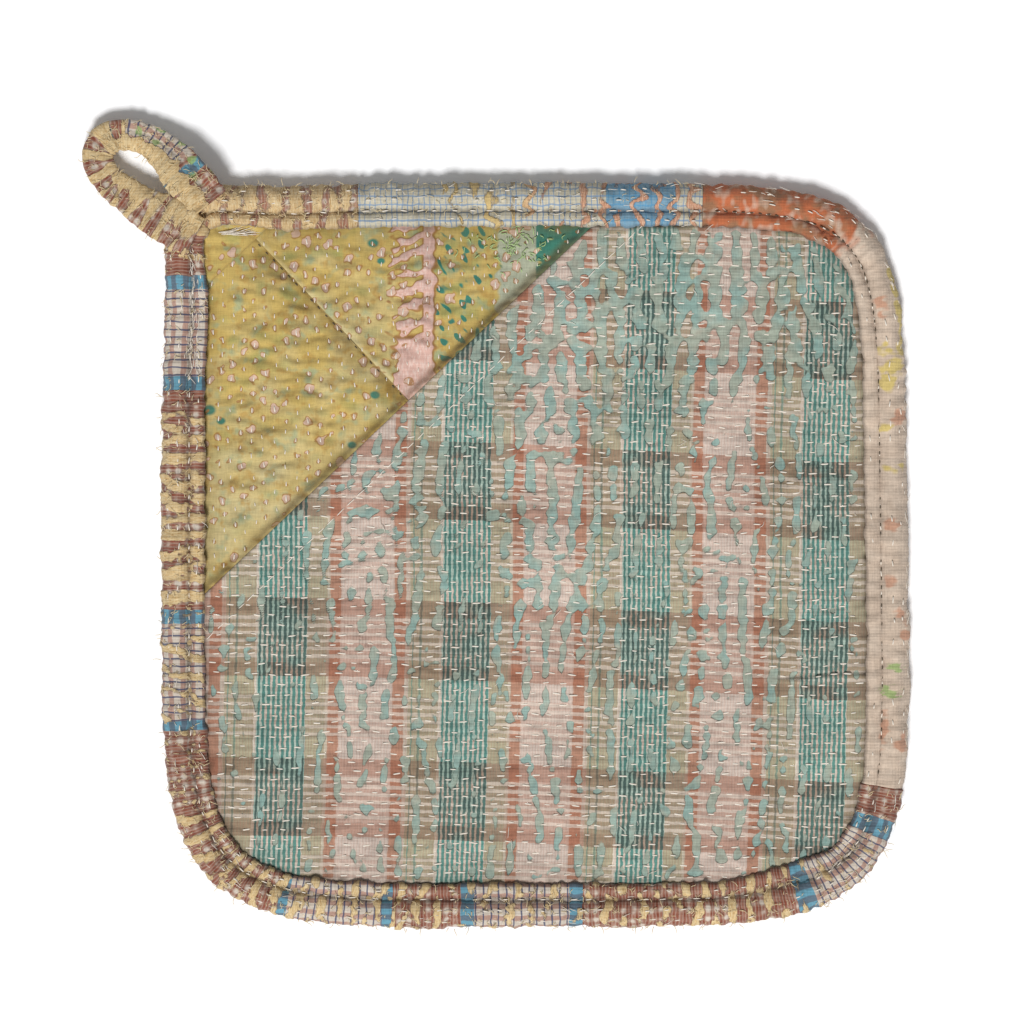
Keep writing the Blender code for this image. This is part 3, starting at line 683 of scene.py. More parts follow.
def plaid_material():
    """Worn plaid cotton: warp stripes, brown weft bands with cream lines, teal threads and the cloth beneath.

    The plaid's UV map counts its repeats, so every stripe starts at a share of one.
    """
    material, tree, shader = cloth_material("worn_plaid_cotton")
    phases = add(tree, "SeparateXYZ", {0: add(tree, "UVMap", uv_map="plaid")})
    place = add(tree, "TexCoord").outputs["Object"]
    slip = patches(tree, place, 700.0, 2.0, 0.0, 1.0, -0.007, 0.007)
    slipped = [add(tree, "Math", {0: phases.outputs[i], 1: slip}, operation="ADD") for i in (0, 1)]
    column, band = (add(tree, "Math", {0: phase}, operation="FRACT") for phase in slipped)

    def mixed(first, second, share):
        return tuple(np.array(first) * (1 - share) + np.array(second) * share)

    pink, rust, beige, cream = (tint(name) for name in ("pink", "rust", "beige", "cream"))
    stripes = [
        (0.0, mixed(cream, pink, 0.6)), (0.266, beige), (0.374, mixed(beige, cream, 0.5)), (0.388, rust),
        (0.446, pink), (0.738, rust), (0.798, mixed(pink, beige, 0.3)), (0.822, beige), (0.985, cream),
    ]
    under_brown = (
        "#9A8676", "#958470", "#9D806E", "#9F6B55", "#B39181", "#9F6B55", "#A68775", "#92806A", "#A6927F",
    )
    crossed = [(start, tint(code)) for (start, _), code in zip(stripes, under_brown)]
    light_warp, brown_warp = (
        set_stops(add(tree, "ValToRGB", {0: column}), stops) for stops in (stripes, crossed)
    )
    depth = set_stops(add(tree, "ValToRGB", {0: band}), [
        (0.0, 1.0), (0.1, 0.74), (0.4, 1.0), (0.487, 0.06), (0.6, 0.42), (0.87, 0.06),
    ])

    def fine_lines(value, *groups):
        stops = [(0.0, 0.0)]
        for starts, width, strength in groups:
            for start in starts:
                stops += [(start, strength), (start + width, 0.0)]
        return set_stops(add(tree, "ValToRGB", {0: value}), stops)

    cream_lines = fine_lines(band, (np.arange(6) * 0.0478 + 0.112, 0.021, 0.6),
                             (np.arange(6) * 0.0462 + 0.606, 0.021, 0.6))
    teal_lines = fine_lines(column, (np.arange(10) * 0.0272 + 0.004, 0.0135, 1.0),
                            ((0.838, 0.878), 0.009, 0.6))
    shades = add(tree, "TexNoise", {"Vector": place, "Scale": 130.0, "Detail": 1.0})
    deep = add(tree, "MapRange", {0: depth, 1: 0.35, 3: 0.05, 4: 0.9})
    bright = add(tree, "MapRange", {0: shades, 1: 0.4, 2: 0.6, 4: 0.4})
    dark_share = add(tree, "Math", {0: deep, 1: bright}, operation="ADD")
    thread = paint(tree, tint("teal"), (dark_share, 1.0, tint("dark_teal")))
    tinge = add(tree, "MapRange", {0: shades, 1: 0.42, 2: 0.6, 4: 0.55})
    in_column = add(tree, "Math", {0: column, 1: 0.27}, operation="LESS_THAN")
    tinge = add(tree, "Math", {0: tinge, 1: in_column}, operation="MULTIPLY")
    inner = paint(tree, tint("inner"),
                  (patches(tree, place, 110.0, 3.0, 0.42, 0.62), 1.0, tint("inner_blue")),
                  (patches(tree, place, 260.0, 3.0, 0.5, 0.72, 0.0, 0.7), 1.0, tint("#AAA898")))
    # Painted shade: a thin dark line round the edges of the worn holes, where the plaid steps down, fainter in
    # places
    rim = set_stops(add(tree, "ValToRGB", {0: field(tree, "wear", -1.0, 1.0)}), [
        (0.46, 0.0), (0.495, 0.5), (0.52, 0.5), (0.555, 0.0),
    ], "LINEAR")
    faint = add(tree, "MapRange", {0: shades, 1: 0.4, 2: 0.6, 3: 0.15})
    rim = add(tree, "Math", {0: rim, 1: faint}, operation="MULTIPLY")
    cloth = paint(
        tree, light_warp, (depth, 1.0, brown_warp),
        (line_mask(tree, column, 0.0165, 0.006, 0.6), 0.22, tint("#A5705A")),
        (cream_lines, 1.0, mixed(cream, pink, 0.35)), (tinge, 1.0, tint("#7DB3A8")),
        (teal_lines, 0.85, thread),
        # The worn holes show the cloth beneath, ringed by that painted shade line
        (field(tree, "wear", -0.08, 0.08, 0.92), 1.0, inner), (rim, 1.0, tint("#6C7060")),
        (field(tree, "shade", 0.0, 1.0), 1.0, tint("#453A2C")),
    )
    wear = add(tree, "Attribute", attribute_name="wear").outputs["Fac"]
    finish(tree, shader, cloth, 0.24, add(tree, "MapRange", {0: wear, 1: -0.2, 2: 0.2, 3: 1.0, 4: 0.0}))
    return material


def rolled_under(past, radius):
    """How far a folded edge falls below its face within a radius of the fold: a quarter of a circle."""
    return radius - np.sqrt(radius**2 - np.clip(radius - past, 0.0, radius) ** 2)


def spread(start, end, shares):
    """Points of every row at shares of the way from its start to its end."""
    return start[:, None] + shares * (end - start)[:, None]


def build_pocket():
    """The plaid panel as a grid of level rows, cut by the mouth's line, its edge rolled under."""
    inset = PAD.binding_wall + CLOTH_MARGIN
    low, high = PAD.row_reach(inset)
    levels = np.linspace(low + ROW_MARGIN, high - ROW_MARGIN, 336)
    left, right = PAD.row_ends(levels, inset)
    left = np.maximum(left, PAD.mouth_x(levels))
    edge = np.array([0.0, 0.12, 0.35, 0.7, 1.1])
    x = np.concatenate([left[:, None] + edge, spread(left + 1.6, right, np.linspace(0, 1, 268))], axis=1)
    y = np.broadcast_to(levels[:, None], x.shape)
    z = pocket_height(x, y) - rolled_under(-PAD.beyond_mouth(x, y), POCKET_FOLD)
    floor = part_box("pocket_panel")[0].z / MM
    hidden = smooth((PAD.binding - 0.4 - PAD.inset(x, y)) / 0.8)
    z = z * (1 - hidden) + np.minimum(z, floor + POCKET_FACE) * hidden
    near = np.maximum(PAD.inset(x, y) - PAD.binding, 0.0)
    shade = 0.55 * np.exp(-near / 0.7) + 0.2 * np.exp(-near / 3.0)
    shade = shade * (0.85 + 0.3 * waves(x, y, 4.0, 4.0, 66))
    item = slab("pocket_cloth", np.stack([x, y, z], axis=-1), floor, plaid_material(),
                {"wear": pocket_wear(x, y), "shade": shade}, {"plaid": plaid_phase(x, y)})
    dress(item, "pocket_panel")


def lining_rows():
    """The plan of the lining's upright stitches."""
    seed = bpy.context.scene.pot_holder_stitches.seed + 20
    return Rows(2.9, 4.3, seed, upright=True, wander=0.5)


def lining_wear(x, y):
    """Above 0 in the worn spots, which sit round some of the stitches."""
    along, across, own = lining_rows().nearest(x, y)
    size = 0.28 + 1.15 * own**4
    spot = 0.9 * size - np.hypot(along / 1.1, across / 1.1) - 0.22 * waves(x, y, 2.1, 2.0, 41)
    return np.where(own > 0.3, spot, -1.0)


def lining_prints(x, y):
    """Fields above 0 inside the lining's prints: rose, jade, grey green; also olive, and pale with a painted
    seam highlight.
    """
    left, up = x / STEP, y / STEP
    right_piece = PAD.right_of_seam(x, y) > 0
    finger = 1.6 * np.cos(FULL_TURN * (up - 0.3 * (left + 101)) / 17.0 + 0.8 * waves(x, y, 8.0, 6.0, 59))
    finger = finger + 0.4 * waves(x, y, 3.4, 2.6, 52) + 0.25
    rough = waves(x, y, 6.0, 3.0, 51)
    edges = np.minimum(left + 141 + 4 * rough, -100 - left + 1.5 * rough) / 4.0
    rose = np.minimum(edges, np.maximum(finger, np.maximum((left + 112) / 3.0, (218 - up) / 8.0)))
    marks = 1.15 * waves(x + 0.5 * y, y, 3.1, 4.6, 53) - 1.1 - 1.2 * smooth((left + 66) / 40)
    jade = np.minimum(marks, np.minimum(left + 100, -30 - left) / 4.0)
    jade = np.maximum(jade, np.minimum((left - 1) / 3.0, 1.0 - 0.5 * waves(x, y, 5.0, 3.0, 54)))
    for place, size in (((-162, 312), 5.5), ((-154, 294), 4.0), ((-326, 145), 6.5), ((-314, 134), 4.5),
                        ((-160, 160), 5.0), ((-183, 110), 4.5), ((-318, 320), 4.0)):
        jade = np.maximum(jade, 1.0 - np.hypot(left - place[0], (up - place[1]) * 1.3) / size)
    grey = np.minimum(left + 36 + 3 * waves(x, y, 8.0, 5.0, 55), 3 - left) / 4.0
    rose, grey = (np.where(right_piece, stripe, -1.0) for stripe in (rose, grey))
    olive = 0.7 * waves(x, y, 26.0, 12.0, 56, count=16) + 0.8 * waves(x, y, 7.0, 5.0, 57)
    olive = olive + 1.3 * smooth((left + 100) / 8)
    pale = 0.8 * bump_at(left, up, (-285, 35), (120, 105)) + 0.55 * bump_at(left, up, (-165, 215), (45, 60))
    pale = pale + 0.18 * waves(x, y, 14.0, 9.0, 58)
    # Painted highlight: a light line along the right half's folded edge at the seam
    pale = pale + 0.6 * np.exp(-(((PAD.right_of_seam(x, y) - 0.6) / 0.7) ** 2))
    return {"rose": rose, "jade": np.clip(jade, -1, 1), "grey": grey, "olive": olive, "pale": pale}


def lining_height(x, y):
    """Height of the lining's face: it puffs up in the open corner in wavy ridges between its stitches."""
    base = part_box("corner_facing")[0].z / MM - 0.3
    inside = PAD.inset(x, y) - PAD.binding
    open_side = PAD.beyond_mouth(x, y)
    room = np.minimum(np.minimum(inside, open_side), PAD.facing_reach - PAD.mouth_reach - open_side)
    puff = smooth((room - 0.3) / 11.0)
    along, across, _ = lining_rows().nearest(x, y)
    dip = np.exp(-((across / 0.7) ** 2)) * smooth(1.5 - np.abs(along) / 0.9)
    wave = 0.5 * waves(x, y, 7.0, 4.6, 61, count=40) + 0.95 * waves(x, y, 17.0, 11.0, 64)
    seam = PAD.right_of_seam(x, y)
    near_seam = np.exp(-((seam / 4.0) ** 2))
    height = base + PAD.lining_puff * puff + (0.36 * wave + 0.12 * waves(x, y, 5.0, 3.0, 62)) * puff
    height = height - 0.2 * dip * puff + 0.10 * gathers(x, y, 3.9, 3.0, 63) * smooth(room / 1.5)
    height = height - 0.16 * smooth(lining_wear(x, y) / 0.3 + 0.5) * puff
    height = height + near_seam * np.where(seam > 0, 0.55, -0.3) * smooth(room / 3.0)
    height = height + 0.4 * smooth(lining_prints(x, y)["rose"] + 0.4) * smooth(room / 1.5)
    touch = np.exp(-((np.maximum(open_side, 0.0) / 1.5) ** 2)) * (open_side > -0.35)
    return height + touch * (pocket_height(x, y) - 0.62 - height)


def lining_material():
    """Worn golden cotton: olive stains, printed stripes, and worn spots with rust rims round its stitches."""
    material, tree, shader = cloth_material("worn_golden_cotton")
    place = add(tree, "TexCoord").outputs["Object"]
    stretched = add(tree, "Mapping", {"Vector": place, "Scale": (1.0, 0.3, 1.0)})
    ladder = patches(tree, stretched, 1600.0, 2.0, 0.48, 0.62, 0.0, 0.55)
    ladder = add(tree, "Math", {0: ladder, 1: field(tree, "rose", 0.2, 0.8)}, operation="MULTIPLY")
    cloth = paint(
        tree, tint("gold"), (field(tree, "olive", 0.2, 2.6), 0.9, tint("olive")),
        # Paler cloth, and along the seam's folded edge a painted highlight
        (field(tree, "pale", 0.0, 1.0), 0.9, tint("#CABB8C")),
        (patches(tree, place, 210.0, 2.0, 0.56, 0.7, 0.0, 0.65), 1.0, tint("#8EA386")),
        (patches(tree, place, 330.0, 2.0, 0.55, 0.68, 0.0, 0.65), 1.0, tint("#B48F4C")),
        (field(tree, "grey", -0.4, 0.4), 1.0, tint("grey_green")),
        (field(tree, "jade", -0.25, 0.25), 0.92, tint("jade")),
        (field(tree, "rose", -0.15, 0.3), 1.0, tint("rose_print")), (ladder, 1.0, tint("#DFCABF")),
    )
    for name, reach in (("rose", 2.0), ("wear", 1.0)):
        rim = set_stops(add(tree, "ValToRGB", {0: field(tree, name, -reach, reach)}), [
            (0.36, 0.0), (0.47, 0.85), (0.53, 0.85), (0.6, 0.0),
        ], "LINEAR")
        cloth = paint(tree, cloth, (rim, 1.0, tint("rim")))
    cloth = paint(tree, cloth, (field(tree, "wear", 0.0, 0.26), 1.0, tint("worn")),
                  (field(tree, "shade", 0.0, 1.0), 0.72, tint("#75591F")))
    finish(tree, shader, cloth, 0.2, woven=False)
    return material


def build_lining():
    """Both halves of the lining as grids of level rows: fine where they show, coarse under the pocket.

    The left half dips under the seam, and the right half's folded edge lies on it.
    """
    material = lining_material()
    inset = PAD.binding_wall + CLOTH_MARGIN
    low, high = PAD.row_reach(inset)
    corner = PAD.row_ends(0.0, PAD.binding)[0]
    lowest_seen = (PAD.mouth_reach - corner * math.cos(PAD.across)) / math.sin(PAD.across)
    crossing = PAD.mouth_reach * math.cos(PAD.mouth_slope) + PAD.seam * math.sin(PAD.mouth_slope)
    plans = (
        ("left", low + ROW_MARGIN, lowest_seen - 4, 9, 250, 190),
        ("right", low + 9, crossing - 3, 12, 150, 220),
    )
    for side, start, fine_start, coarse_rows, fine_rows, columns in plans:
        on_left = side == "left"
        levels = np.concatenate([
            np.linspace(start, fine_start, coarse_rows, endpoint=False),
            np.linspace(fine_start, high - ROW_MARGIN, fine_rows),
        ])
        left, right = PAD.row_ends(levels, inset)
        if on_left:
            right = np.minimum(PAD.seam_x(levels) + 1.4, right)
        else:
            left = np.maximum(PAD.seam_x(levels), left)
        keep = right - left > 4.5
        levels, left, right = levels[keep], left[keep], right[keep]
        mouth = np.clip(PAD.mouth_x(levels) + 2.5, left + 1.8, right - 0.6)
        fold = np.array([] if on_left else [0.0, 0.1, 0.3, 0.6, 1.0])
        x = np.concatenate([
            left[:, None] + fold, spread(left + (0 if on_left else 1.4), mouth, np.linspace(0, 1, columns)),
            spread(mouth, right, np.linspace(0.2, 1, 6)),
        ], axis=1)
        y = np.broadcast_to(levels[:, None], x.shape)
        z = lining_height(x, y)
        past = PAD.right_of_seam(x, y)
        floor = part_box("lining_" + side)[0].z / MM
        if on_left:
            under = smooth(past / 0.5)
            z = z * (1 - under) + (floor + 0.25) * under
        else:
            z = z - rolled_under(past, LINING_FOLD)
        uneven = 0.75 + 0.22 * waves(x, y, 11.0, 11.0, 65) + 0.12 * waves(x, y, 3.0, 3.0, 67)
        shade = 0.75 * np.exp(-((np.minimum(past, 0.0) / 5.5) ** 2)) * (past < 0.1)
        shade = np.maximum(shade, 0.8 * np.exp(-np.maximum(PAD.inset(x, y) - PAD.binding, 0.0) / 2.0))
        shade = shade + 0.5 * np.exp(-((past / 0.5) ** 2)) * on_left
        shade = np.maximum(shade, 0.95 * smooth(1.0 - PAD.beyond_mouth(x, y) / 4.0)) * uneven
        item = slab("lining_cloth_" + side, np.stack([x, y, z], axis=-1), floor if on_left else floor + 0.3,
                    material, {"wear": lining_wear(x, y), "shade": shade, **lining_prints(x, y)}, {})
        dress(item, "lining_" + side)


def build_facing():
    """The corner's triangle as a grid in axes along the mouth, with its edge turned under."""
    turn = PAD.mouth_slope
    inset = PAD.binding_wall + CLOTH_MARGIN
    levels = np.linspace(PAD.facing_reach, PAD.row_reach(inset, turn)[1] - 0.4, 70)
    across = spread(*PAD.row_ends(levels, inset, turn), np.linspace(0, 1, 110))
    depth = np.broadcast_to(levels[:, None], across.shape)
    x = across * math.cos(turn) - depth * math.sin(turn)
    y = across * math.sin(turn) + depth * math.cos(turn)
    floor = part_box("corner_facing")[0].z / MM
    inwards = depth - PAD.facing_reach
    ripple = 0.16 * waves(x, y, 7.0, 4.0, 71) + 0.1 * np.cos(FULL_TURN * y / 3.4)
    ripple = ripple + 0.12 * gathers(x, y, 3.3, 3.0, 72)
    z = floor + 0.15 + (0.6 + ripple) * smooth(inwards / 0.6)
    blank = np.full(x.shape, -1.0)
    fields = {"wear": lining_wear(x + 40, y), "shade": 0.5 * np.exp(-inwards / 0.5), "rose": blank,
              "jade": blank, "grey": blank, "olive": waves(x, y, 12.0, 7.0, 73)}
    item = slab("facing_cloth", np.stack([x, y, z], axis=-1), floor, bpy.data.materials["worn_golden_cotton"],
                fields, {})
    dress(item, "corner_facing")


def smooth_curve(points, steps, closed=False):
    """Catmull-Rom curve through the points: each stretch is the cubic set by its four nearest points."""
    points = np.asarray(points, dtype=float)
    if closed:
        padded = np.vstack([points[-1:], points, points[:2]])
    else:
        padded = np.vstack([2 * points[0] - points[1], points, 2 * points[-1] - points[-2]])
    before, start, end, after = (padded[i:len(padded) - 3 + i, None, :] for i in range(4))
    share = np.linspace(0, 1, steps, endpoint=False)[None, :, None]
    curve = 0.5 * (
        2 * start + (end - before) * share + (2 * before - 5 * start + 4 * end - after) * share**2
        + (3 * start - before - 3 * end + after) * share**3
    )
    curve = curve.reshape(-1, points.shape[1])
    return curve if closed else np.vstack([curve, points[-1:]])


def run_of(points):
    """Distance travelled along a row of points."""
    return np.concatenate([[0.0], np.cumsum(np.linalg.norm(np.diff(points, axis=0), axis=1))])


class Strip:
    """One strip of the binding: how far along it lies each direction from the pad's centre."""

    def __init__(self, name):
        self.name = name
        start, end = (math.radians(value) for value in JOINS[name])
        fine = np.linspace(start, end, 3001)
        radius = PAD.radius(fine)
        edge = np.stack([radius * np.cos(fine), radius * np.sin(fine)], axis=-1)
        self.fine, self.run = fine, run_of(edge)
        self.length = self.run[-1]
        self.bend = int(np.argmin(np.abs(np.abs(fine - LOOP_CORNER) - math.radians(20.0))))
        self.bend_place = edge[self.bend]
        middle = self.point(self.run, PAD.binding / 2, 0.0)
        self.middle_turn = np.unwrap(np.arctan2(middle[:, 1], middle[:, 0]))
        self.middle_turn += FULL_TURN * np.round((fine[1500] - self.middle_turn[1500]) / FULL_TURN)
        self.middle_run = self.squared(self.run, middle)

    def along(self, degrees):
        """Distance along the strip of its middle place in a direction from the pad's centre."""
        first = math.degrees(self.fine[0])
        turned = np.mod(np.asarray(degrees, dtype=float) - first + 20, 360) - 20 + first
        return np.interp(np.radians(turned), self.middle_turn, self.middle_run)

    def squared(self, along, place):
        """Distance along the strip of a place, measured straight along the side beside the loop's corner."""
        if self.name not in ("binding_left", "binding_top_left"):
            return np.broadcast_to(along, place.shape[:-1])
        axis = 1 if self.name == "binding_left" else 0
        bend = self.run[self.bend]
        beside = bend + self.bend_place[axis] - place[..., axis]
        return np.where(along < bend if axis else along > bend, beside, along)

    def point(self, along, inset, z):
        """Place of a distance along the strip, an inset square to the edge and a height."""
        angle = np.interp(along, self.run, self.fine)
        slant = PAD.slant(angle)
        aside = np.arctan2(inset * np.sin(slant), PAD.radius(angle) - inset * np.cos(slant))
        from_corner = np.abs(np.mod(angle, FULL_TURN) - LOOP_CORNER)
        angle = angle - aside * smooth(from_corner / math.radians(16.0) - 0.2)
        stand = 0.0
        if self.name == "binding_bottom":
            stand = PAD.lap * np.maximum(0.0, 1 - along / 30.0) * np.clip(1 - inset / PAD.binding_wall, 0, 1)
        radius = PAD.drawn_in(angle, inset - stand)
        return np.stack([radius * np.cos(angle), radius * np.sin(angle), z + 0 * radius], axis=-1)

    def headed(self, along, inset, z):
        """Places on the strip as columns; the last column is the direction in which the strip runs."""
        here = self.point(along, inset, z)
        ahead = self.point(along + 0.2, inset, z) - here
        return np.column_stack([here, np.arctan2(ahead[:, 1], ahead[:, 0])])


def binding_shape():
    """The section as a fine curve with its outward normals and its run from the outermost point.

    The last array is 1 on the faces that show and 0 inside the channel.
    """
    curve = smooth_curve(BINDING_SECTION, SECTION_STEPS, closed=True)
    ahead = np.roll(curve, -1, axis=0) - np.roll(curve, 1, axis=0)
    ahead /= np.linalg.norm(ahead, axis=1)[:, None]
    normal = np.stack([-ahead[:, 1], ahead[:, 0]], axis=-1)
    run = run_of(curve)
    outside = np.ones(len(curve))
    outside[SECTION_FLANGE_END * SECTION_STEPS + 1:] = 0.0
    outside[0] = 0.0
    return curve, normal, run - run[SECTION_OUTERMOST * SECTION_STEPS], outside


# Share of the binding that the worn mustard or peach cloth still covers, by direction in degrees
COVER = {
    "binding_left": ((135, 0.6), (138, 0.6), (140.5, 0.05), (157, 0.02), (159, 0.45), (162, 0.62), (187, 0.6),
                     (189, 0.2), (195, 0.3), (203, 0.3), (206, 0.15), (212, 0.2), (222, 0.36), (232, 0.4),
                     (238, 0.3), (249.4, 0.3)),
    "binding_bottom": ((-110.6, 0.3), (-104, 0.08), (-95, 0.3), (-84, 0.15), (-78, 0.2), (-60, 0.34),
                       (-54, 0.15), (-46, 0.1), (-40, 0.0), (-32.5, 0.0)),
    "binding_right": ((-32.5, 0.0), (65.7, 0.0)),
    "binding_top_check": ((65.7, 0.3), (68, 0.25), (78, 0.27), (84, 0.14), (92, 0.18), (101, 0.2),
                          (104, 0.06), (106, 0.0), (115.5, 0.0)),
    "binding_top_left": ((115.5, 0.62), (124, 0.72), (135, 0.8)),
}

# Cloth that the check shows: the direction where it starts, and brown check, navy lines, or blue bar
CHECKS = {
    "binding_left": ((135, "brown"), (141.1, "blue"), (142.7, "navy"), (153, "blue"), (154.8, "brown"),
                     (188.7, "blue"), (190.8, "navy"), (204.8, "blue"), (206.2, "brown"), (233, "blue"),
                     (233.9, "navy"), (246, "blue"), (247.8, "brown")),
    "binding_bottom": ((-110.6, "brown"), (-102, "blue"), (-99.9, "navy"), (-84.6, "blue"), (-82.5, "brown"),
                       (-52.6, "blue"), (-50.2, "navy"), (-40.0, "blue"), (-37.7, "brown")),
    "binding_top_check": ((65.7, "navy"), (67.9, "blue"), (78.4, "navy")),
    "binding_top_left": ((115.5, "brown"), (120, "brown")),
}

# The name of each strip's material and the style of each strip
BINDING_SLOTS = {
    "binding_left": ("madras_check_left", "madras"), "binding_bottom": ("madras_check_bottom", "madras"),
    "binding_right": ("beige_cotton", "sand"), "binding_top_check": ("blue_cream_check", "window"),
    "binding_top_left": ("mustard_check", "faded"),
}

# Torn cloth over each style: shadow, middle and light along its fibres, softness of its edge, and opacity
COVER_CLOTHS = {
    "madras": ("#AC8750", "mustard", "#DDCBA4", 0.12, 0.94),
    "faded": ("#AC8750", "mustard", "#DDCBA4", 0.45, 0.86),
    "window": ("#A9714F", "#C58F6F", "#E2C0A4", 0.12, 0.94),
}

# Pitch of the comb-like threads that are left on the blue and cream check
WORM_PITCH = 4.9

# Patches of the right-hand binding: direction in degrees, and millimetres round the section, along and across
PATCHES = {
    "peach": ((355.8, 8, 2.7, 2), (350.8, 5, 2.16, 2.5), (347.5, 3, 2.7, 3), (333.9, 10, 7.2, 2),
              (332, 4, 4.5, 3), (35.9, 8, 4.5, 3), (21.6, 4, 3.24, 4), (5, 7, 3.6, 3)),
    "leaf": ((342.4, 6, 1.44, 3), (339, 8, 1.8, 4)),
    "yolk": ((38.3, 2, 7.2, 2), (34.2, 2, 7.2, 2), (30.6, 6, 2.52, 5), (28, 6, 2.52, 6), (26, 8, 2.88, 3),
             (20, 9, 1.8, 3), (14, 6, 1.8, 4)),
}

# Along the loop, as shares of its length: how much of it the mustard cloth covers, and what lies under it
LOOP_COVER = (
    (0, 0.7), (0.1, 0.4), (0.34, 0.1), (0.42, 0.5), (0.55, 0.4), (0.75, 0.38), (0.87, 0.2), (1.0, 0.5),
)
LOOP_CHECK = (
    (0.0, "brown"), (0.11, "blue"), (0.155, "brown"), (0.18, "navy"), (0.40, "brown"), (0.44, "blue"),
    (0.465, "brown"),
)


def ribbons(along, across, share, seed):
    """Above 0 in wandering crosswise ribbons that take up a share of the strip."""
    wave = waves(along, across, 4.9, 8.0, seed, count=30, spread=0.22, fan=0.27)
    return wave + 0.3 * waves(along, across, 1.9, 2.4, seed + 10) - level_for(share)


def binding_fields(strip, along, run):
    """Cover of the mustard cloth, above 0 where it is left, and the patches of the right-hand binding."""
    degrees, amounts = zip(*COVER[strip.name])
    amount = np.interp(along, strip.along(degrees), amounts)
    seed = 80 + list(JOINS).index(strip.name)
    fields = {"cover": ribbons(along, run, amount, seed)}
    if strip.name == "binding_top_check":
        tooth = (along + 0.9 * waves(along, run, 9.0, 5.5, seed + 20)) / WORM_PITCH
        off = np.abs(np.mod(tooth, 1.0) - 0.5) * WORM_PITCH
        kept = waves(along, run, 7.0, 24.0, seed + 30) - level_for(3.0 * amount)
        fields["cover"] = np.minimum(1.2 * (0.8 - off), kept)
    if strip.name == "binding_right":
        blotch = 0.95 + 0.3 * waves(along, run, 4.2, 9.0, 95) + 0.25 * waves(along, run, 1.7, 3.4, 96)
        for name, spots in PATCHES.items():
            fields[name] = blotch * sum(
                bump_at(along, run, (strip.along(degree), middle), (long, wide))
                for degree, middle, long, wide in spots
            )
        fields["orange"] = smooth((along - strip.along(40)) / 20.0) * (
            0.88 + 0.14 * waves(along, run, 9.0, 6.0, 97) + 0.1 * waves(along, run, 2.5, 4.0, 98)
        )
    return fields


def kinds_ramp(tree, along, strip, table):
    """Ramp along a strip whose red, green and blue say brown check, navy lines or blue bar."""
    channel = {"brown": (1.0, 0.0, 0.0, 1.0), "navy": (0.0, 1.0, 0.0, 1.0), "blue": (0.0, 0.0, 1.0, 1.0)}
    share = add(tree, "Math", {0: along, 1: strip.length}, operation="DIVIDE")
    stops = [(float(strip.along(degree)) / strip.length, channel[kind]) for degree, kind in table]
    return add(tree, "SeparateColor", {0: set_stops(add(tree, "ValToRGB", {0: share}), stops)})


def line_mask(tree, place, pitch, width, soft=0.12):
    """Lines across a coordinate in millimetres: 1 within a width of every pitch."""
    turned = add(tree, "Math", {0: place, 1: 1 / pitch}, operation="MULTIPLY")
    part = add(tree, "Math", {0: turned}, operation="FRACT")
    signed = add(tree, "Math", {0: part, 1: 0.5}, operation="SUBTRACT")
    off = add(tree, "Math", {0: signed}, operation="ABSOLUTE")
    half = width / pitch / 2
    return add(tree, "MapRange", {0: off, 1: half * (1 - soft), 2: half * (1 + soft) + 0.01, 3: 1.0, 4: 0.0})


def window_cloth(tree, along, across, patchy, kinds):
    """Cream cotton under a windowpane of blue lines, with one stretch woven strong blue."""
    cross = add(tree, "Math", {0: line_mask(tree, along, 1.45, 0.32), 1: patchy}, operation="MULTIPLY")
    return paint(tree, tint("window"), (cross, 0.8, tint("line_blue")),
                 (line_mask(tree, across, 2.5, 0.45), 0.75, tint("line_blue")),
                 (kinds.outputs[2], 0.74, tint("strong_blue")))


def sand_cloth(tree, broad, patchy):
    """Plain beige cotton with peach and yellow patches, worn burnt orange round the top corner."""
    darker = add(tree, "MapRange", {0: broad, 1: 0.45, 2: 0.62})
    burnt = paint(tree, tint("#B7633B"), (darker, 1.0, tint("#96694A")))
    return paint(tree, tint("sand"), (patchy, 1.0, tint("#C6B29F")),
                 (field(tree, "peach", 0.45, 0.85, 0.55), 1.0, tint("peach")),
                 (field(tree, "yolk", 0.45, 0.85, 0.8), 1.0, tint("yolk")),
                 (field(tree, "orange", 0.45, 0.85, 0.95), 1.0, burnt))


def madras_cloth(tree, along, across, patchy, kinds, ground):
    """Brown check with cream cells, cream stretches with navy lines and brown columns, and blue bars."""
    cream = tint("check_cream")
    cells = add(tree, "Math", {
        0: line_mask(tree, along, 2.5, 1.2, 0.5), 1: line_mask(tree, across, 2.9, 1.5, 0.5),
    }, operation="ADD")
    for share in (patchy, 0.5):
        cells = add(tree, "Math", {0: cells, 1: share}, operation="MULTIPLY")
    brown = set_stops(add(tree, "ValToRGB", {0: cells}), [
        (0.0, ground), (0.45, tint("#99705F")), (0.9, cream),
    ], "LINEAR")
    brown = paint(tree, brown, (line_mask(tree, along, 0.9, 0.3, 0.5), 0.28, cream))
    pale = paint(tree, cream, (line_mask(tree, across, 3.4, 1.5), 0.7, tint("#A0705F")),
                 (line_mask(tree, along, 2.05, 0.42), 0.85, tint("navy")))
    bar = paint(tree, tint("sky"), (line_mask(tree, across, 3.4, 1.7), 1.0, tint("slate")))
    return paint(tree, brown, (kinds.outputs[1], 1.0, pale), (kinds.outputs[2], 1.0, bar))


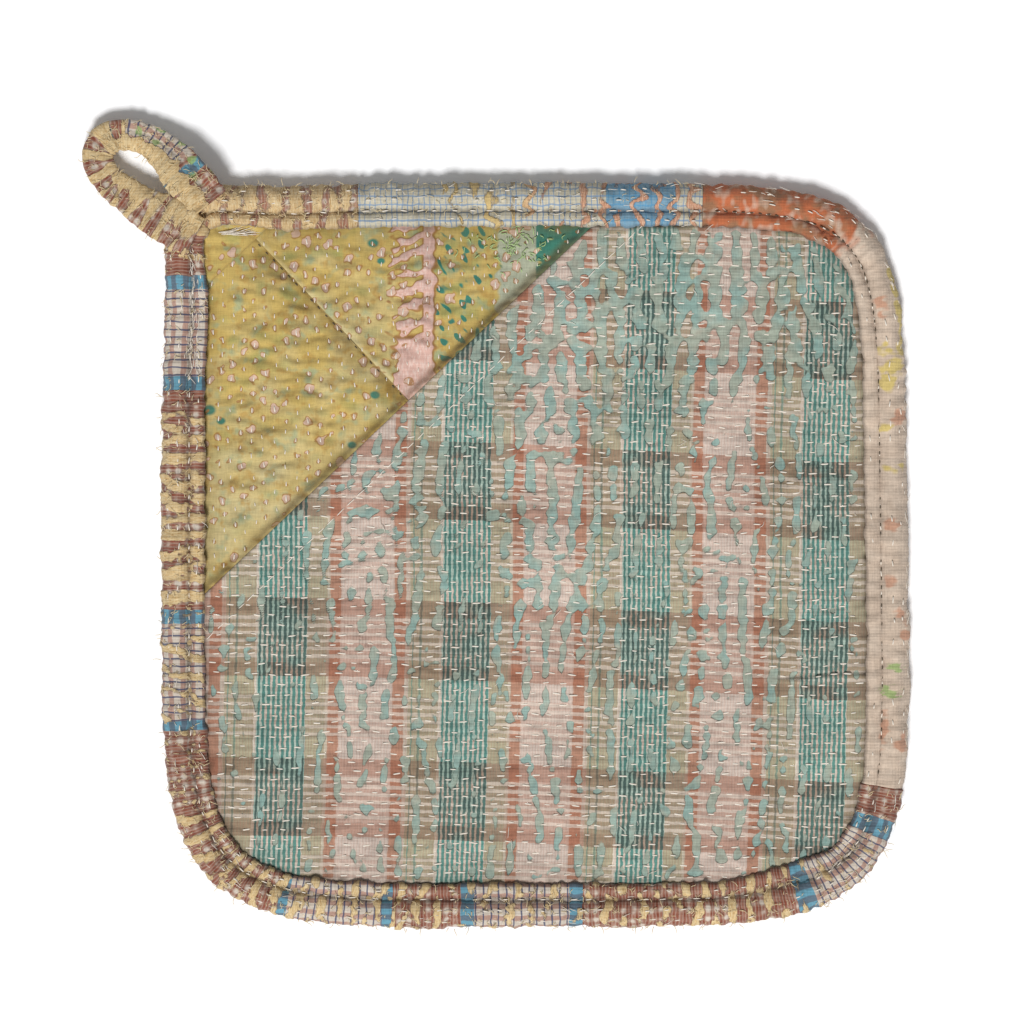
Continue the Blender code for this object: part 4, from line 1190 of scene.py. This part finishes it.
def worn_cover(tree, cloth, cover, fibres, style, yellow):
    """The torn cloth left over a check: lighter and darker along its fibres, with a brown rim round it.

    The mask of its yellow part is given only for the window style.
    """
    shadow, middle, light, soft, full = COVER_CLOTHS[style]
    warm = set_stops(add(tree, "ValToRGB", {0: fibres}), [
        (0.3, tint(shadow)), (0.48, tint(middle)), (0.7, tint(light)),
    ], "LINEAR")
    if yellow:
        warm = paint(tree, warm, (yellow, 1.0, tint("#C9AE74")))
    mask = add(tree, "MapRange", {0: cover, 1: -soft, 2: soft, 4: full})
    cloth = paint(tree, cloth, (mask, 1.0, warm))
    if style == "faded":
        return cloth
    rim = set_stops(add(tree, "ValToRGB", {0: add(tree, "MapRange", {0: cover, 1: -1.0})}), [
        (0.40, 0.0), (0.46, 0.3), (0.5, 0.2), (0.56, 0.0),
    ], "LINEAR")
    return paint(tree, cloth, (rim, 1.0, tint("#7A5136")))


def check_material(name, strip, table, style="madras"):
    """Worn cotton of the binding in one of its styles, under what is left of the cloth that covered it.

    The tape's UV map holds millimetres along the strip and round its section.
    """
    material, tree, shader = cloth_material(name)
    uv = add(tree, "UVMap", uv_map="tape")
    tape = add(tree, "SeparateXYZ", {0: uv})
    place = add(tree, "TexCoord").outputs["Object"]
    slip = patches(tree, place, 300.0, 1.0, 0.25, 0.75, -0.22, 0.22)
    along, across = (add(tree, "Math", {0: tape.outputs[i], 1: slip}, operation="ADD") for i in (0, 1))
    broad = add(tree, "TexNoise", {"Vector": place, "Scale": 210.0, "Detail": 2.0})
    patchy = add(tree, "MapRange", {0: broad, 1: 0.4, 2: 0.58, 3: 0.3})
    stretched = add(tree, "Mapping", {"Vector": uv, "Scale": (3.0, 0.55, 1.0)})
    fibres = add(tree, "TexNoise", {"Vector": stretched, "Scale": 1.0, "Detail": 3.0, "Roughness": 0.65,
                                    "Distortion": 0.9})
    torn = add(tree, "MapRange", {0: fibres, 1: 0.3, 2: 0.7, 3: -0.32, 4: 0.32})
    kept = [add(tree, "Attribute", attribute_name=layer).outputs["Fac"] for layer in ("cover", "leaf")]
    cover, leaf = (add(tree, "Math", {0: amount, 1: torn}, operation="ADD") for amount in kept)
    if style == "sand":
        cloth = sand_cloth(tree, broad, patchy)
    else:
        kinds = kinds_ramp(tree, along, strip, table)
        yellow = None
        if style == "window":
            cloth = window_cloth(tree, along, across, patchy, kinds)
            yellow = add(tree, "MapRange", {0: along, 1: float(strip.along(89)), 2: float(strip.along(94))})
        else:
            ground = tint("#9C6C54" if style == "faded" else "maroon")
            cloth = madras_cloth(tree, along, across, patchy, kinds, ground)
        cloth = worn_cover(tree, cloth, cover, fibres, style, yellow)
    cloth = paint(tree, cloth, (add(tree, "MapRange", {0: leaf, 1: 0.4, 2: 0.7, 4: 0.8}), 1.0, tint("leaf")),
                  (field(tree, "shade", 0.0, 1.0), 0.62, tint("#3B2A22")))
    finish(tree, shader, cloth, 0.22, add(tree, "MapRange", {0: cover, 1: -0.2, 2: 0.2}))
    return material


def carried_faces(stations, sides):
    """Faces of a section carried along a path, closed at both ends and turned outwards."""
    ring = np.arange(sides)
    ends = [ring.tolist(), ((stations - 1) * sides + ring)[::-1].tolist()]
    return grid_faces(stations, sides, around=True)[:, ::-1].tolist() + ends


def build_binding():
    """Each strip as the section carried along the outline, puffed and puckered along its normals.

    The push along a normal is slow waves, crosswise puckers and the thickness of the cover, less a pinch with
    the shape of a bell at the sewn groove.
    """
    curve, normal, run, outside = binding_shape()
    around = run[None, :]
    from_groove = around - run[np.argmin(np.abs(curve[:, 0] - GROOVE_INSET) + 10 * (curve[:, 1] < 6.2))]
    for number, (name, (slot, style)) in enumerate(BINDING_SLOTS.items()):
        strip = Strip(name)
        stations = int(strip.length / 0.52)
        station = np.linspace(0.02, strip.length - 0.02, stations)[:, None]
        along = strip.squared(station, strip.point(station, curve[None, :, 0], curve[None, :, 1]))
        fields = binding_fields(strip, along, around)
        plain = style == "sand"
        pucker = np.cos(FULL_TURN * along / 2.15 + 1.6 * waves(along, around, 9.0, 12.0, 121 + number))
        swell = (
            0.15 * waves(along, around, 13.0, 16.0, 101 + number, count=14)
            + 0.16 * waves(along, around, 4.4, 9.0, 111 + number) + (0.07 if plain else 0.11) * pucker
            + 0.2 * smooth(fields["cover"] / 0.3 + 0.5)
        )
        pinch = 0.30 * np.exp(-((from_groove / 0.9) ** 2)) * (0.6 + 0.4 * np.cos(FULL_TURN * along / 5.0))
        filled = 0.6 * plain * (1 - 0.8 * smooth((along - strip.along(30)) / 25.0))
        pinch = pinch - filled * np.exp(-((from_groove / 1.1) ** 2))
        push = (swell - pinch) * outside * smooth(np.minimum(station, strip.length - station) / 1.2 + 0.6)
        bulge = np.exp(-(((station - strip.along(-52.0)) / 14.0) ** 2))
        wide = 1.0 + 0.2 * bulge * (name == "binding_bottom")
        points = strip.point(station, curve[:, 0] * wide + normal[:, 0] * push,
                             np.maximum(curve[:, 1] + normal[:, 1] * push, 0.0))
        fields["shade"] = (
            (0.45 if plain else 0.8) * np.exp(-((from_groove / 0.7) ** 2)) + 0.6 * smooth(from_groove - 3.7)
        )
        fields = {key: np.broadcast_to(value, push.shape).ravel() for key, value in fields.items()}
        tape = np.stack(np.broadcast_arrays(along, around), axis=-1).reshape(-1, 2)
        material = check_material("worn_" + slot, strip, CHECKS.get(name), style)
        item = make_piece(name + "_cloth", points.reshape(-1, 3), carried_faces(stations, len(curve)),
                          material, fields, {"tape": tape})
        dress(item, name)


def loop_section(stations=200, sides=36):
    """Middle, heading, width and height of the tape along its route, and the angles round it."""
    curve = smooth_curve(LOOP_ROUTE, 24)
    run = run_of(curve)
    even = np.linspace(0, run[-1], stations)
    route = np.stack([np.interp(even, run, curve[:, axis]) for axis in (0, 1)], axis=-1)
    heading = np.gradient(route, axis=0)
    heading /= np.linalg.norm(heading, axis=1)[:, None]
    share = np.linspace(0, 1, stations)
    to_root = smooth((np.abs(share - 0.5) - 0.14) / 0.22)
    width = LOOP_TIP_WIDTH + (LOOP_ROOT_WIDTH - LOOP_TIP_WIDTH) * to_root
    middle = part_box("hanging_loop")[0].z / MM + PAD.loop_thickness / 2
    height = middle - PAD.loop_drop * smooth((0.42 - np.abs(share - 0.52)) / 0.25)
    turns = (np.arange(sides) + 0.5) * FULL_TURN / sides
    return route, heading, even, width, height, turns


class LoopStrip:
    """The loop's tape as a strip, for the ramp of its check."""

    def __init__(self, total):
        self.length = total

    def along(self, share):
        """Distance along the tape of a share of its length."""
        return np.asarray(share) * self.length


def build_loop():
    """The tape's section, a flattened round with a fold along it, carried along the teardrop route."""
    route, heading, even, width, height, turns = loop_section()
    total = even[-1]
    side = np.stack([heading[:, 1], -heading[:, 0]], axis=-1)
    across = np.sign(np.cos(turns)) * np.abs(np.cos(turns)) ** 0.7
    upwards = np.sign(np.sin(turns)) * np.abs(np.sin(turns)) ** 0.62
    along = even[:, None]
    gone = along / total
    place = across * width[:, None] / 2
    fold = np.exp(-(((place - 0.9) / 0.55) ** 2)) * (upwards > 0)
    swell = (
        0.22 * waves(along, place, 9.0, 8.0, 141, count=14) + 0.13 * waves(along, place, 3.2, 6.0, 142)
        + 0.10 * np.cos(FULL_TURN * along / 2.3 + waves(along, place, 8.0, 9.0, 143))
    )
    amount = np.interp(gone, *zip(*LOOP_COVER))
    outer_side = smooth((place + 0.3) / 0.8)
    on_right_leg = smooth((0.42 - gone) / 0.06)
    share = amount + 0.5 * smooth((-0.4 - place) / 0.9) + on_right_leg * (0.7 - amount - 0.95 * outer_side)
    cover = ribbons(1.3 * along, 0.4 * place, share, 144)
    near_root = np.maximum(0, 1 - np.minimum(along, total - along) / 9.0)
    crease = 0.5 * near_root * waves(along, place, 4.5, 5.0, 146)
    push = swell + 0.12 * smooth(cover / 0.3 + 0.5) + crease
    closing = 1.2 * np.maximum(bump_at(gone, 0, (0.13, 0), (0.07, 1)), bump_at(gone, 0, (0.88, 0), (0.08, 1)))
    out = place + 0.7 * np.cos(turns) * push - closing * smooth(-place / 3.0)
    rise = upwards * PAD.loop_thickness / 2 + np.sin(turns) * push - 0.55 * fold
    points = np.concatenate([
        route[:, None, :] + side[:, None, :] * out[:, :, None], (height[:, None] + rise)[:, :, None],
    ], axis=2)
    tape = np.stack(np.broadcast_arrays(along, place + 6), axis=-1).reshape(-1, 2)
    leaf = (0.7 * waves(along, place, 5.0, 4.5, 147) - 0.1) * on_right_leg * outer_side * smooth(along / 9.0)
    fields = {"cover": cover, "shade": 0.6 * fold * on_right_leg, "leaf": leaf}
    item = make_piece("loop_tape", points.reshape(-1, 3), carried_faces(*out.shape),
                      check_material("worn_loop_check", LoopStrip(total), LOOP_CHECK), fields, {"tape": tape})
    dress(item, "hanging_loop")


def build_back():
    """Underside cloth as a grid of level rows that rise from the table in ridges of the quilting.

    It is closed over a level inner face and then turned inside out, because it is built upside down.
    """
    material, tree, shader = cloth_material("faded_back_cotton")
    place = add(tree, "TexCoord").outputs["Object"]
    cloth = paint(tree, tint("inner"), (patches(tree, place, 45.0, 3.0, 0.4, 0.62), 1.0, tint("#A9A58C")))
    finish(tree, shader, cloth, 0.24)
    inset = PAD.binding_wall + 0.3
    low, high = PAD.row_reach(inset)
    levels = np.linspace(low + ROW_MARGIN, high - ROW_MARGIN, 250)
    x = spread(*PAD.row_ends(levels, inset), np.linspace(0, 1, 190))
    y = np.broadcast_to(levels[:, None], x.shape)
    inside = PAD.inset(x, y) - PAD.binding
    across = pocket_rows().nearest(x, y)[1]
    ridge = 0.5 + 0.5 * np.cos(FULL_TURN * across / pocket_rows().row)
    z = 1.2 * (1 - smooth(inside / 12.0)) + 0.22 * ridge * smooth(inside / 6.0) + 0.05
    z = np.where(inside < 0, 1.2, z)
    item = slab("back_cloth", np.stack([x, y, z], axis=-1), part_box("back_panel")[1].z / MM, material, {}, {})
    item.data.flip_normals()
    dress(item, "back_panel")


def dress_batting():
    """The wadding keeps its solid, which lies inside the pad, and gets fibres."""
    material, tree, shader = cloth_material("cotton_wadding", 0.97, 0.3)
    place = add(tree, "TexCoord").outputs["Object"]
    fibres = add(tree, "TexNoise", {"Vector": place, "Scale": 500.0, "Detail": 5.0, "Roughness": 0.75})
    share = add(tree, "MapRange", {0: fibres, 1: 0.3, 2: 0.7})
    cloth = paint(tree, tint("wadding"), (share, 1.0, tint("#C3BBA6")))
    tree.links.new(cloth.outputs[2], shader.inputs["Base Color"])
    bump = add(tree, "Bump", {"Height": fibres, "Distance": 0.2 * MM, "Strength": 0.8})
    tree.links.new(bump.outputs[0], shader.inputs["Normal"])
    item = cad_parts["batting"]
    item.data.materials.clear()
    item.data.materials.append(material)


def thread_material(name, colour_name):
    """Cotton thread with the slight gloss of its twist, and darker where it is soiled."""
    material, tree, shader = cloth_material(name, 0.75, 0.2)
    place = add(tree, "TexCoord").outputs["Object"]
    soiled = tuple(np.array(tint(colour_name)) * (0.8, 0.76, 0.7, 1.0))
    dirt = patches(tree, place, 900.0, 2.0, 0.35, 0.7, 0.0, 0.6)
    cloth = paint(tree, tint(colour_name), (dirt, 1.0, soiled))
    tree.links.new(cloth.outputs[2], shader.inputs["Base Color"])
    return material


def line_across(reach, square, turn, run):
    """Places along a straight line: its reach from the centre square to it, and the run along it."""
    return reach * math.cos(square) + run * math.cos(turn), reach * math.sin(square) + run * math.sin(turn)


def build_stitches():
    """Stitches of the pocket, lining, hem's line and binding's rows, and painted shade dashes in the seams'
    stitch holes.
    """
    material = thread_material("quilting_thread", "thread")
    plan = bpy.context.scene.pot_holder_stitches
    radius = plan.thread / MM

    x, y, turn, own = pocket_rows().places(
        104.0, lambda x, y: (PAD.inset(x, y) > PAD.binding + 1.3) & (PAD.beyond_mouth(x, y) < -1.6)
    )
    sew("pocket_stitches", x, y, pocket_height(x, y) + 0.06, turn, plan.stitch / MM / 2 * (0.75 + 0.5 * own),
        radius * (0.8 + 0.4 * own), 0.10, material)
    x, y, turn, own = lining_rows().places(
        104.0, lambda x, y: (PAD.inset(x, y) > PAD.binding + 1.0) & (PAD.beyond_mouth(x, y) > 1.2)
    )
    sew("lining_stitches", x, y, lining_height(x, y) + 0.05, turn, 0.55 + 0.4 * own,
        radius * (0.65 + 0.3 * own), 0.10, material)

    run = np.arange(-100.0, 120.0, 3.7)
    x, y = line_across(PAD.mouth_reach - PAD.hem + 0.5, PAD.across, PAD.mouth_slope, run)
    seen = PAD.inset(x, y) > PAD.binding
    x, y, run = x[seen], y[seen], run[seen]
    sew("hem_stitches", x, y, pocket_height(x, y) + 0.05, PAD.mouth_slope + 0.06 * np.cos(run * 2.1),
        np.full(len(x), 1.5), radius * 0.7, 0.12, material)

    # Painted shade: dark dashes along the lining's seam and in the right binding's groove stand in for the
    # shaded stitch holes
    x, y = line_across(PAD.seam - 0.35, PAD.mouth_slope, PAD.across, np.arange(-60.0, 130.0, 2.9))
    seen = (PAD.inset(x, y) > PAD.binding) & (PAD.beyond_mouth(x, y) > 0.6)
    x, y = x[seen], y[seen]
    seam = np.column_stack([x, y, lining_height(x, y) + 0.05, np.full(len(x), PAD.across)])
    strip = Strip("binding_right")
    groove = strip.headed(np.arange(4.0, strip.length - 2.0, 2.4), GROOVE_INSET, 6.75)
    x, y, z, turn = np.concatenate([seam, groove]).T
    sew("dark_stitches", x, y, z, turn, np.full(len(x), 0.5), 0.17, 0.08,
        thread_material("dark_thread", "dark_thread"))

    curve = binding_shape()[0]
    rising = curve[SECTION_OUTERMOST * SECTION_STEPS:SECTION_FLANGE_END * SECTION_STEPS + 1]
    chance = np.random.default_rng(plan.seed + 40)
    lines = ((GROOVE_INSET, 4.6, 0.95), (4.6, 5.4, 0.9), (1.9, 6.2, 0.9), (9.9, 6.6, 0.8))
    parts = []
    for name in JOINS:
        strip = Strip(name)
        for inset, step, long in lines:
            sewn = inset == GROOVE_INSET
            along = np.arange(2.0, strip.length - 2.0, step)
            along = along + chance.uniform(-0.22, 0.22, len(along)) * step
            along = along[chance.uniform(size=len(along)) < (0.95 if sewn else 0.62)]
            off = inset + chance.uniform(-0.35, 0.35, len(along)) * (not sewn)
            here = strip.headed(along, off, np.interp(off, rising[:, 0], rising[:, 1]))
            here[:, 3] += chance.uniform(-0.2, 0.2, len(along))
            parts.append(np.column_stack([here, long * chance.uniform(0.6, 1.1, len(along))]))
    x, y, z, turn, half = np.concatenate(parts).T
    sew("binding_stitches", x, y, z + 0.22, turn, half, radius * 0.85, 0.16, material)


def build_frays():
    """Loose threads: mustard ones where the cover has torn, and pale and green ones over the cloths."""
    chance = np.random.default_rng(bpy.context.scene.pot_holder_stitches.seed + 60)
    curve = binding_shape()[0]
    rising = curve[SECTION_OUTERMOST * SECTION_STEPS:SECTION_FLANGE_END * SECTION_STEPS + 1]

    def on_strip(name, count, low, high, start=0.0, end=1.0):
        strip = Strip(name)
        first, last = max(1.0, start * strip.length), min(strip.length - 1.0, end * strip.length)
        along = chance.uniform(first, last, count)
        off = chance.uniform(low, high, count)
        return strip.headed(along, off, np.interp(off, rising[:, 0], rising[:, 1]) + 0.15)

    def any_way(count):
        return chance.uniform(-math.pi, math.pi, count)

    mustard = thread_material("mustard_thread", "fray")
    white = bpy.data.materials["quilting_thread"]
    strips = ("binding_left", "binding_bottom", "binding_top_left", "binding_top_check")
    places, edges = (
        np.concatenate([on_strip(name, count, low, high) for name, count in zip(strips, counts)])
        for counts, low, high in (((520, 380, 220, 90), 0.5, 11.0), ((60, 60, 20, 25), 0.0, 0.8))
    )
    starts = np.concatenate([places, edges])
    turned = starts[:, 3] + np.concatenate([any_way(len(places)), chance.uniform(-2.4, -0.7, len(edges))])
    reach = chance.uniform(0.7, 2.4, len(starts))
    fray("mustard_frays", starts[:, :3], turned, reach, 1.1, 0.085, 61, mustard)

    route, heading, _, width, height, _ = loop_section()
    pick = chance.integers(4, len(route) - 4, 360)
    side = np.stack([heading[pick, 1], -heading[pick, 0]], axis=-1)
    off = chance.uniform(-0.48, 0.48, len(pick)) * width[pick]
    starts = np.column_stack([route[pick] + side * off[:, None], height[pick] + PAD.loop_thickness / 2 - 0.1])
    fray("loop_frays", starts, any_way(len(pick)), chance.uniform(0.8, 2.6, len(pick)),
         1.1, 0.08, 62, mustard)
    ranges = ((-100.5, -94.5), (84.5, 87.5), (7.6, 8.6), (-2.6, -1.0), (1.2, 3.4))
    x, y, z, turned, reach = (chance.uniform(low, high, 34) for low, high in ranges)
    fray("loop_fringe", np.column_stack([x, y, z]), turned, reach, 0.8, 0.12, 63, mustard)

    starts = np.concatenate([
        on_strip("binding_left", 90, 7.0, 9.4, 0.03, 0.2), on_strip("binding_left", 60, 0.0, 11.0),
        on_strip("binding_right", 50, 0.0, 1.0), on_strip("binding_right", 24, 1.0, 11.0, 0.7, 1.0),
        on_strip("binding_top_check", 40, 0.0, 11.0), on_strip("binding_bottom", 50, 0.0, 9.0),
    ])
    count = len(starts)
    turned = starts[:, 3] + chance.normal(0.0, 0.16, count) + math.pi * chance.integers(0, 2, count)
    fray("pale_frays", starts[:, :3], turned, chance.uniform(0.8, 3.6, count), 0.25, 0.085, 64, white)

    x, y = chance.uniform(-86, 86, (2, 90))
    wanted = (PAD.inset(x, y) > PAD.binding + 2) & (PAD.beyond_mouth(x, y) < -2)
    x, y = x[wanted], y[wanted]
    fray("pocket_frays", np.column_stack([x, y, pocket_height(x, y) + 0.05]), any_way(len(x)),
         chance.uniform(1.0, 3.5, len(x)), 0.8, 0.08, 65, white)
    x, y = chance.normal(-5.0, 5.5, 90), chance.normal(83.5, 3.2, 90)
    wanted = (PAD.beyond_mouth(x, y) > 1.0) & (PAD.inset(x, y) > PAD.binding - 0.5)
    x, y = x[wanted], y[wanted]
    fray("green_frays", np.column_stack([x, y, lining_height(x, y) + 0.2]), any_way(len(x)),
         chance.uniform(0.8, 2.4, len(x)), 1.4, 0.13, 68, thread_material("green_thread", "green_thread"))
    x, y = chance.uniform(-86.5, -79.0, 34), chance.uniform(85.3, 86.3, 34)
    fray("facing_frays", np.column_stack([x, y, lining_height(x, y) + 0.9]),
         chance.normal(0.17, 0.07, len(x)), chance.uniform(3.0, 6.5, len(x)), 0.14, 0.085, 66, white)


class POTHOLDER_OT_stage(bpy.types.Operator):
    """Set up the camera, the lights and the floor"""

    bl_idname = "pot_holder.stage"
    bl_label = "Stage"

    def execute(self, context):
        stage = context.scene.pot_holder_stage
        middle = PAD.centre * MM + np.array([stage.view_x, stage.view_y, 0.005])
        camera = bpy.data.cameras.new("camera")
        camera.sensor_width = 36.0
        camera.lens = camera.sensor_width * stage.distance / stage.view_width
        camera.clip_end = 20.0
        eye = bpy.data.objects.new("camera", camera)
        eye.location = (middle[0], middle[1], middle[2] + stage.distance)
        context.scene.collection.objects.link(eye)
        context.scene.camera = eye

        sun = bpy.data.lights.new("low_sun", "SUN")
        sun.energy = stage.key
        sun.angle = math.radians(16.0)
        lamp = bpy.data.objects.new("low_sun", sun)
        lamp.rotation_euler = (math.pi / 2 - stage.key_height, 0.0, -stage.key_side)
        context.scene.collection.objects.link(lamp)

        world = bpy.data.worlds.new("even_light")
        context.scene.world = world
        world.use_nodes = True
        tree = world.node_tree
        ray = add(tree, "LightPath")
        to_camera = ray.outputs["Is Camera Ray"]
        strength = add(tree, "Mix", {0: to_camera, 2: stage.fill, 3: 1.0}, data_type="FLOAT")
        tree.links.new(strength.outputs[0], tree.nodes["Background"].inputs["Strength"])
        tree.nodes["Background"].inputs["Color"].default_value = (1.0, 1.0, 1.0, 1.0)

        material = bpy.data.materials.new("matt_white_paper")
        material.use_nodes = True
        tree = material.node_tree
        tree.nodes.remove(tree.nodes["Principled BSDF"])
        ray = add(tree, "LightPath")
        seen = add(tree, "BsdfDiffuse", {"Color": (1.12, 1.12, 1.13, 1.0)})
        lighting = add(tree, "BsdfDiffuse", {"Color": (0.8, 0.8, 0.8, 1.0)})
        both = add(tree, "MixShader", {0: ray.outputs["Is Camera Ray"], 1: lighting, 2: seen})
        tree.links.new(both.outputs[0], tree.nodes["Material Output"].inputs["Surface"])
        half = 3.0
        mesh = bpy.data.meshes.new("floor")
        corners = [(-half, -half, 0), (half, -half, 0), (half, half, 0), (-half, half, 0)]
        mesh.from_pydata(corners, [], [(0, 1, 2, 3)])
        mesh.materials.append(material)
        floor = bpy.data.objects.new("floor", mesh)
        floor.location.z = -0.05 * MM
        context.scene.collection.objects.link(floor)
        context.scene.view_settings.view_transform = "Standard"
        return {"FINISHED"}


class POTHOLDER_OT_back(bpy.types.Operator):
    """Build the underside cloth and dress the wadding"""

    bl_idname = "pot_holder.back"
    bl_label = "Back and Wadding"

    def execute(self, context):
        build_back()
        dress_batting()
        return {"FINISHED"}


class POTHOLDER_OT_lining(bpy.types.Operator):
    """Build both halves of the lining and the corner facing"""

    bl_idname = "pot_holder.lining"
    bl_label = "Lining"

    def execute(self, context):
        build_lining()
        build_facing()
        return {"FINISHED"}


class POTHOLDER_OT_pocket(bpy.types.Operator):
    """Build the worn plaid panel of the pocket"""

    bl_idname = "pot_holder.pocket"
    bl_label = "Pocket"

    def execute(self, context):
        build_pocket()
        return {"FINISHED"}


class POTHOLDER_OT_binding(bpy.types.Operator):
    """Build the five strips of the binding"""

    bl_idname = "pot_holder.binding"
    bl_label = "Binding"

    def execute(self, context):
        build_binding()
        return {"FINISHED"}


class POTHOLDER_OT_loop(bpy.types.Operator):
    """Build the hanging loop"""

    bl_idname = "pot_holder.loop"
    bl_label = "Hanging Loop"

    def execute(self, context):
        build_loop()
        return {"FINISHED"}


class POTHOLDER_OT_stitches(bpy.types.Operator):
    """Sew the running stitches"""

    bl_idname = "pot_holder.stitches"
    bl_label = "Stitches"

    def execute(self, context):
        build_stitches()
        return {"FINISHED"}


class POTHOLDER_OT_frays(bpy.types.Operator):
    """Lay out the loose threads"""

    bl_idname = "pot_holder.frays"
    bl_label = "Frays"

    def execute(self, context):
        build_frays()
        return {"FINISHED"}


OPERATORS = (
    POTHOLDER_OT_stage, POTHOLDER_OT_back, POTHOLDER_OT_lining, POTHOLDER_OT_pocket, POTHOLDER_OT_binding,
    POTHOLDER_OT_loop, POTHOLDER_OT_stitches, POTHOLDER_OT_frays,
)
GROUPS = {
    "pot_holder_sizes": PotHolderSizes, "pot_holder_stitches": PotHolderStitches,
    "pot_holder_colours": PotHolderColours, "pot_holder_stage": PotHolderStage,
}


class POTHOLDER_PT_panel(bpy.types.Panel):
    """The pot holder's pieces and settings"""

    bl_idname = "POTHOLDER_PT_panel"
    bl_label = "Pot Holder"
    bl_space_type = "VIEW_3D"
    bl_region_type = "UI"
    bl_category = "Pot Holder"

    def draw(self, context):
        for operator in OPERATORS:
            self.layout.operator(operator.bl_idname)
        for name, group in GROUPS.items():
            box = self.layout.box()
            for item in group.__annotations__:
                box.prop(getattr(context.scene, name), item)


def register():
    """Register the classes and give the scene its settings."""
    for item in (*GROUPS.values(), *OPERATORS, POTHOLDER_PT_panel):
        bpy.utils.register_class(item)
    for name, group in GROUPS.items():
        setattr(bpy.types.Scene, name, PointerProperty(type=group))


def unregister():
    """Take the settings and the classes away again."""
    for name in GROUPS:
        delattr(bpy.types.Scene, name)
    for item in reversed((*GROUPS.values(), *OPERATORS, POTHOLDER_PT_panel)):
        bpy.utils.unregister_class(item)


def main():
    """Register the settings and build every piece."""
    global PAD
    register()
    PAD = Pad()
    bpy.ops.pot_holder.stage()
    bpy.ops.pot_holder.back()
    bpy.ops.pot_holder.lining()
    bpy.ops.pot_holder.pocket()
    bpy.ops.pot_holder.binding()
    bpy.ops.pot_holder.loop()
    bpy.ops.pot_holder.stitches()
    bpy.ops.pot_holder.frays()


if __name__ == "__main__":
    main()
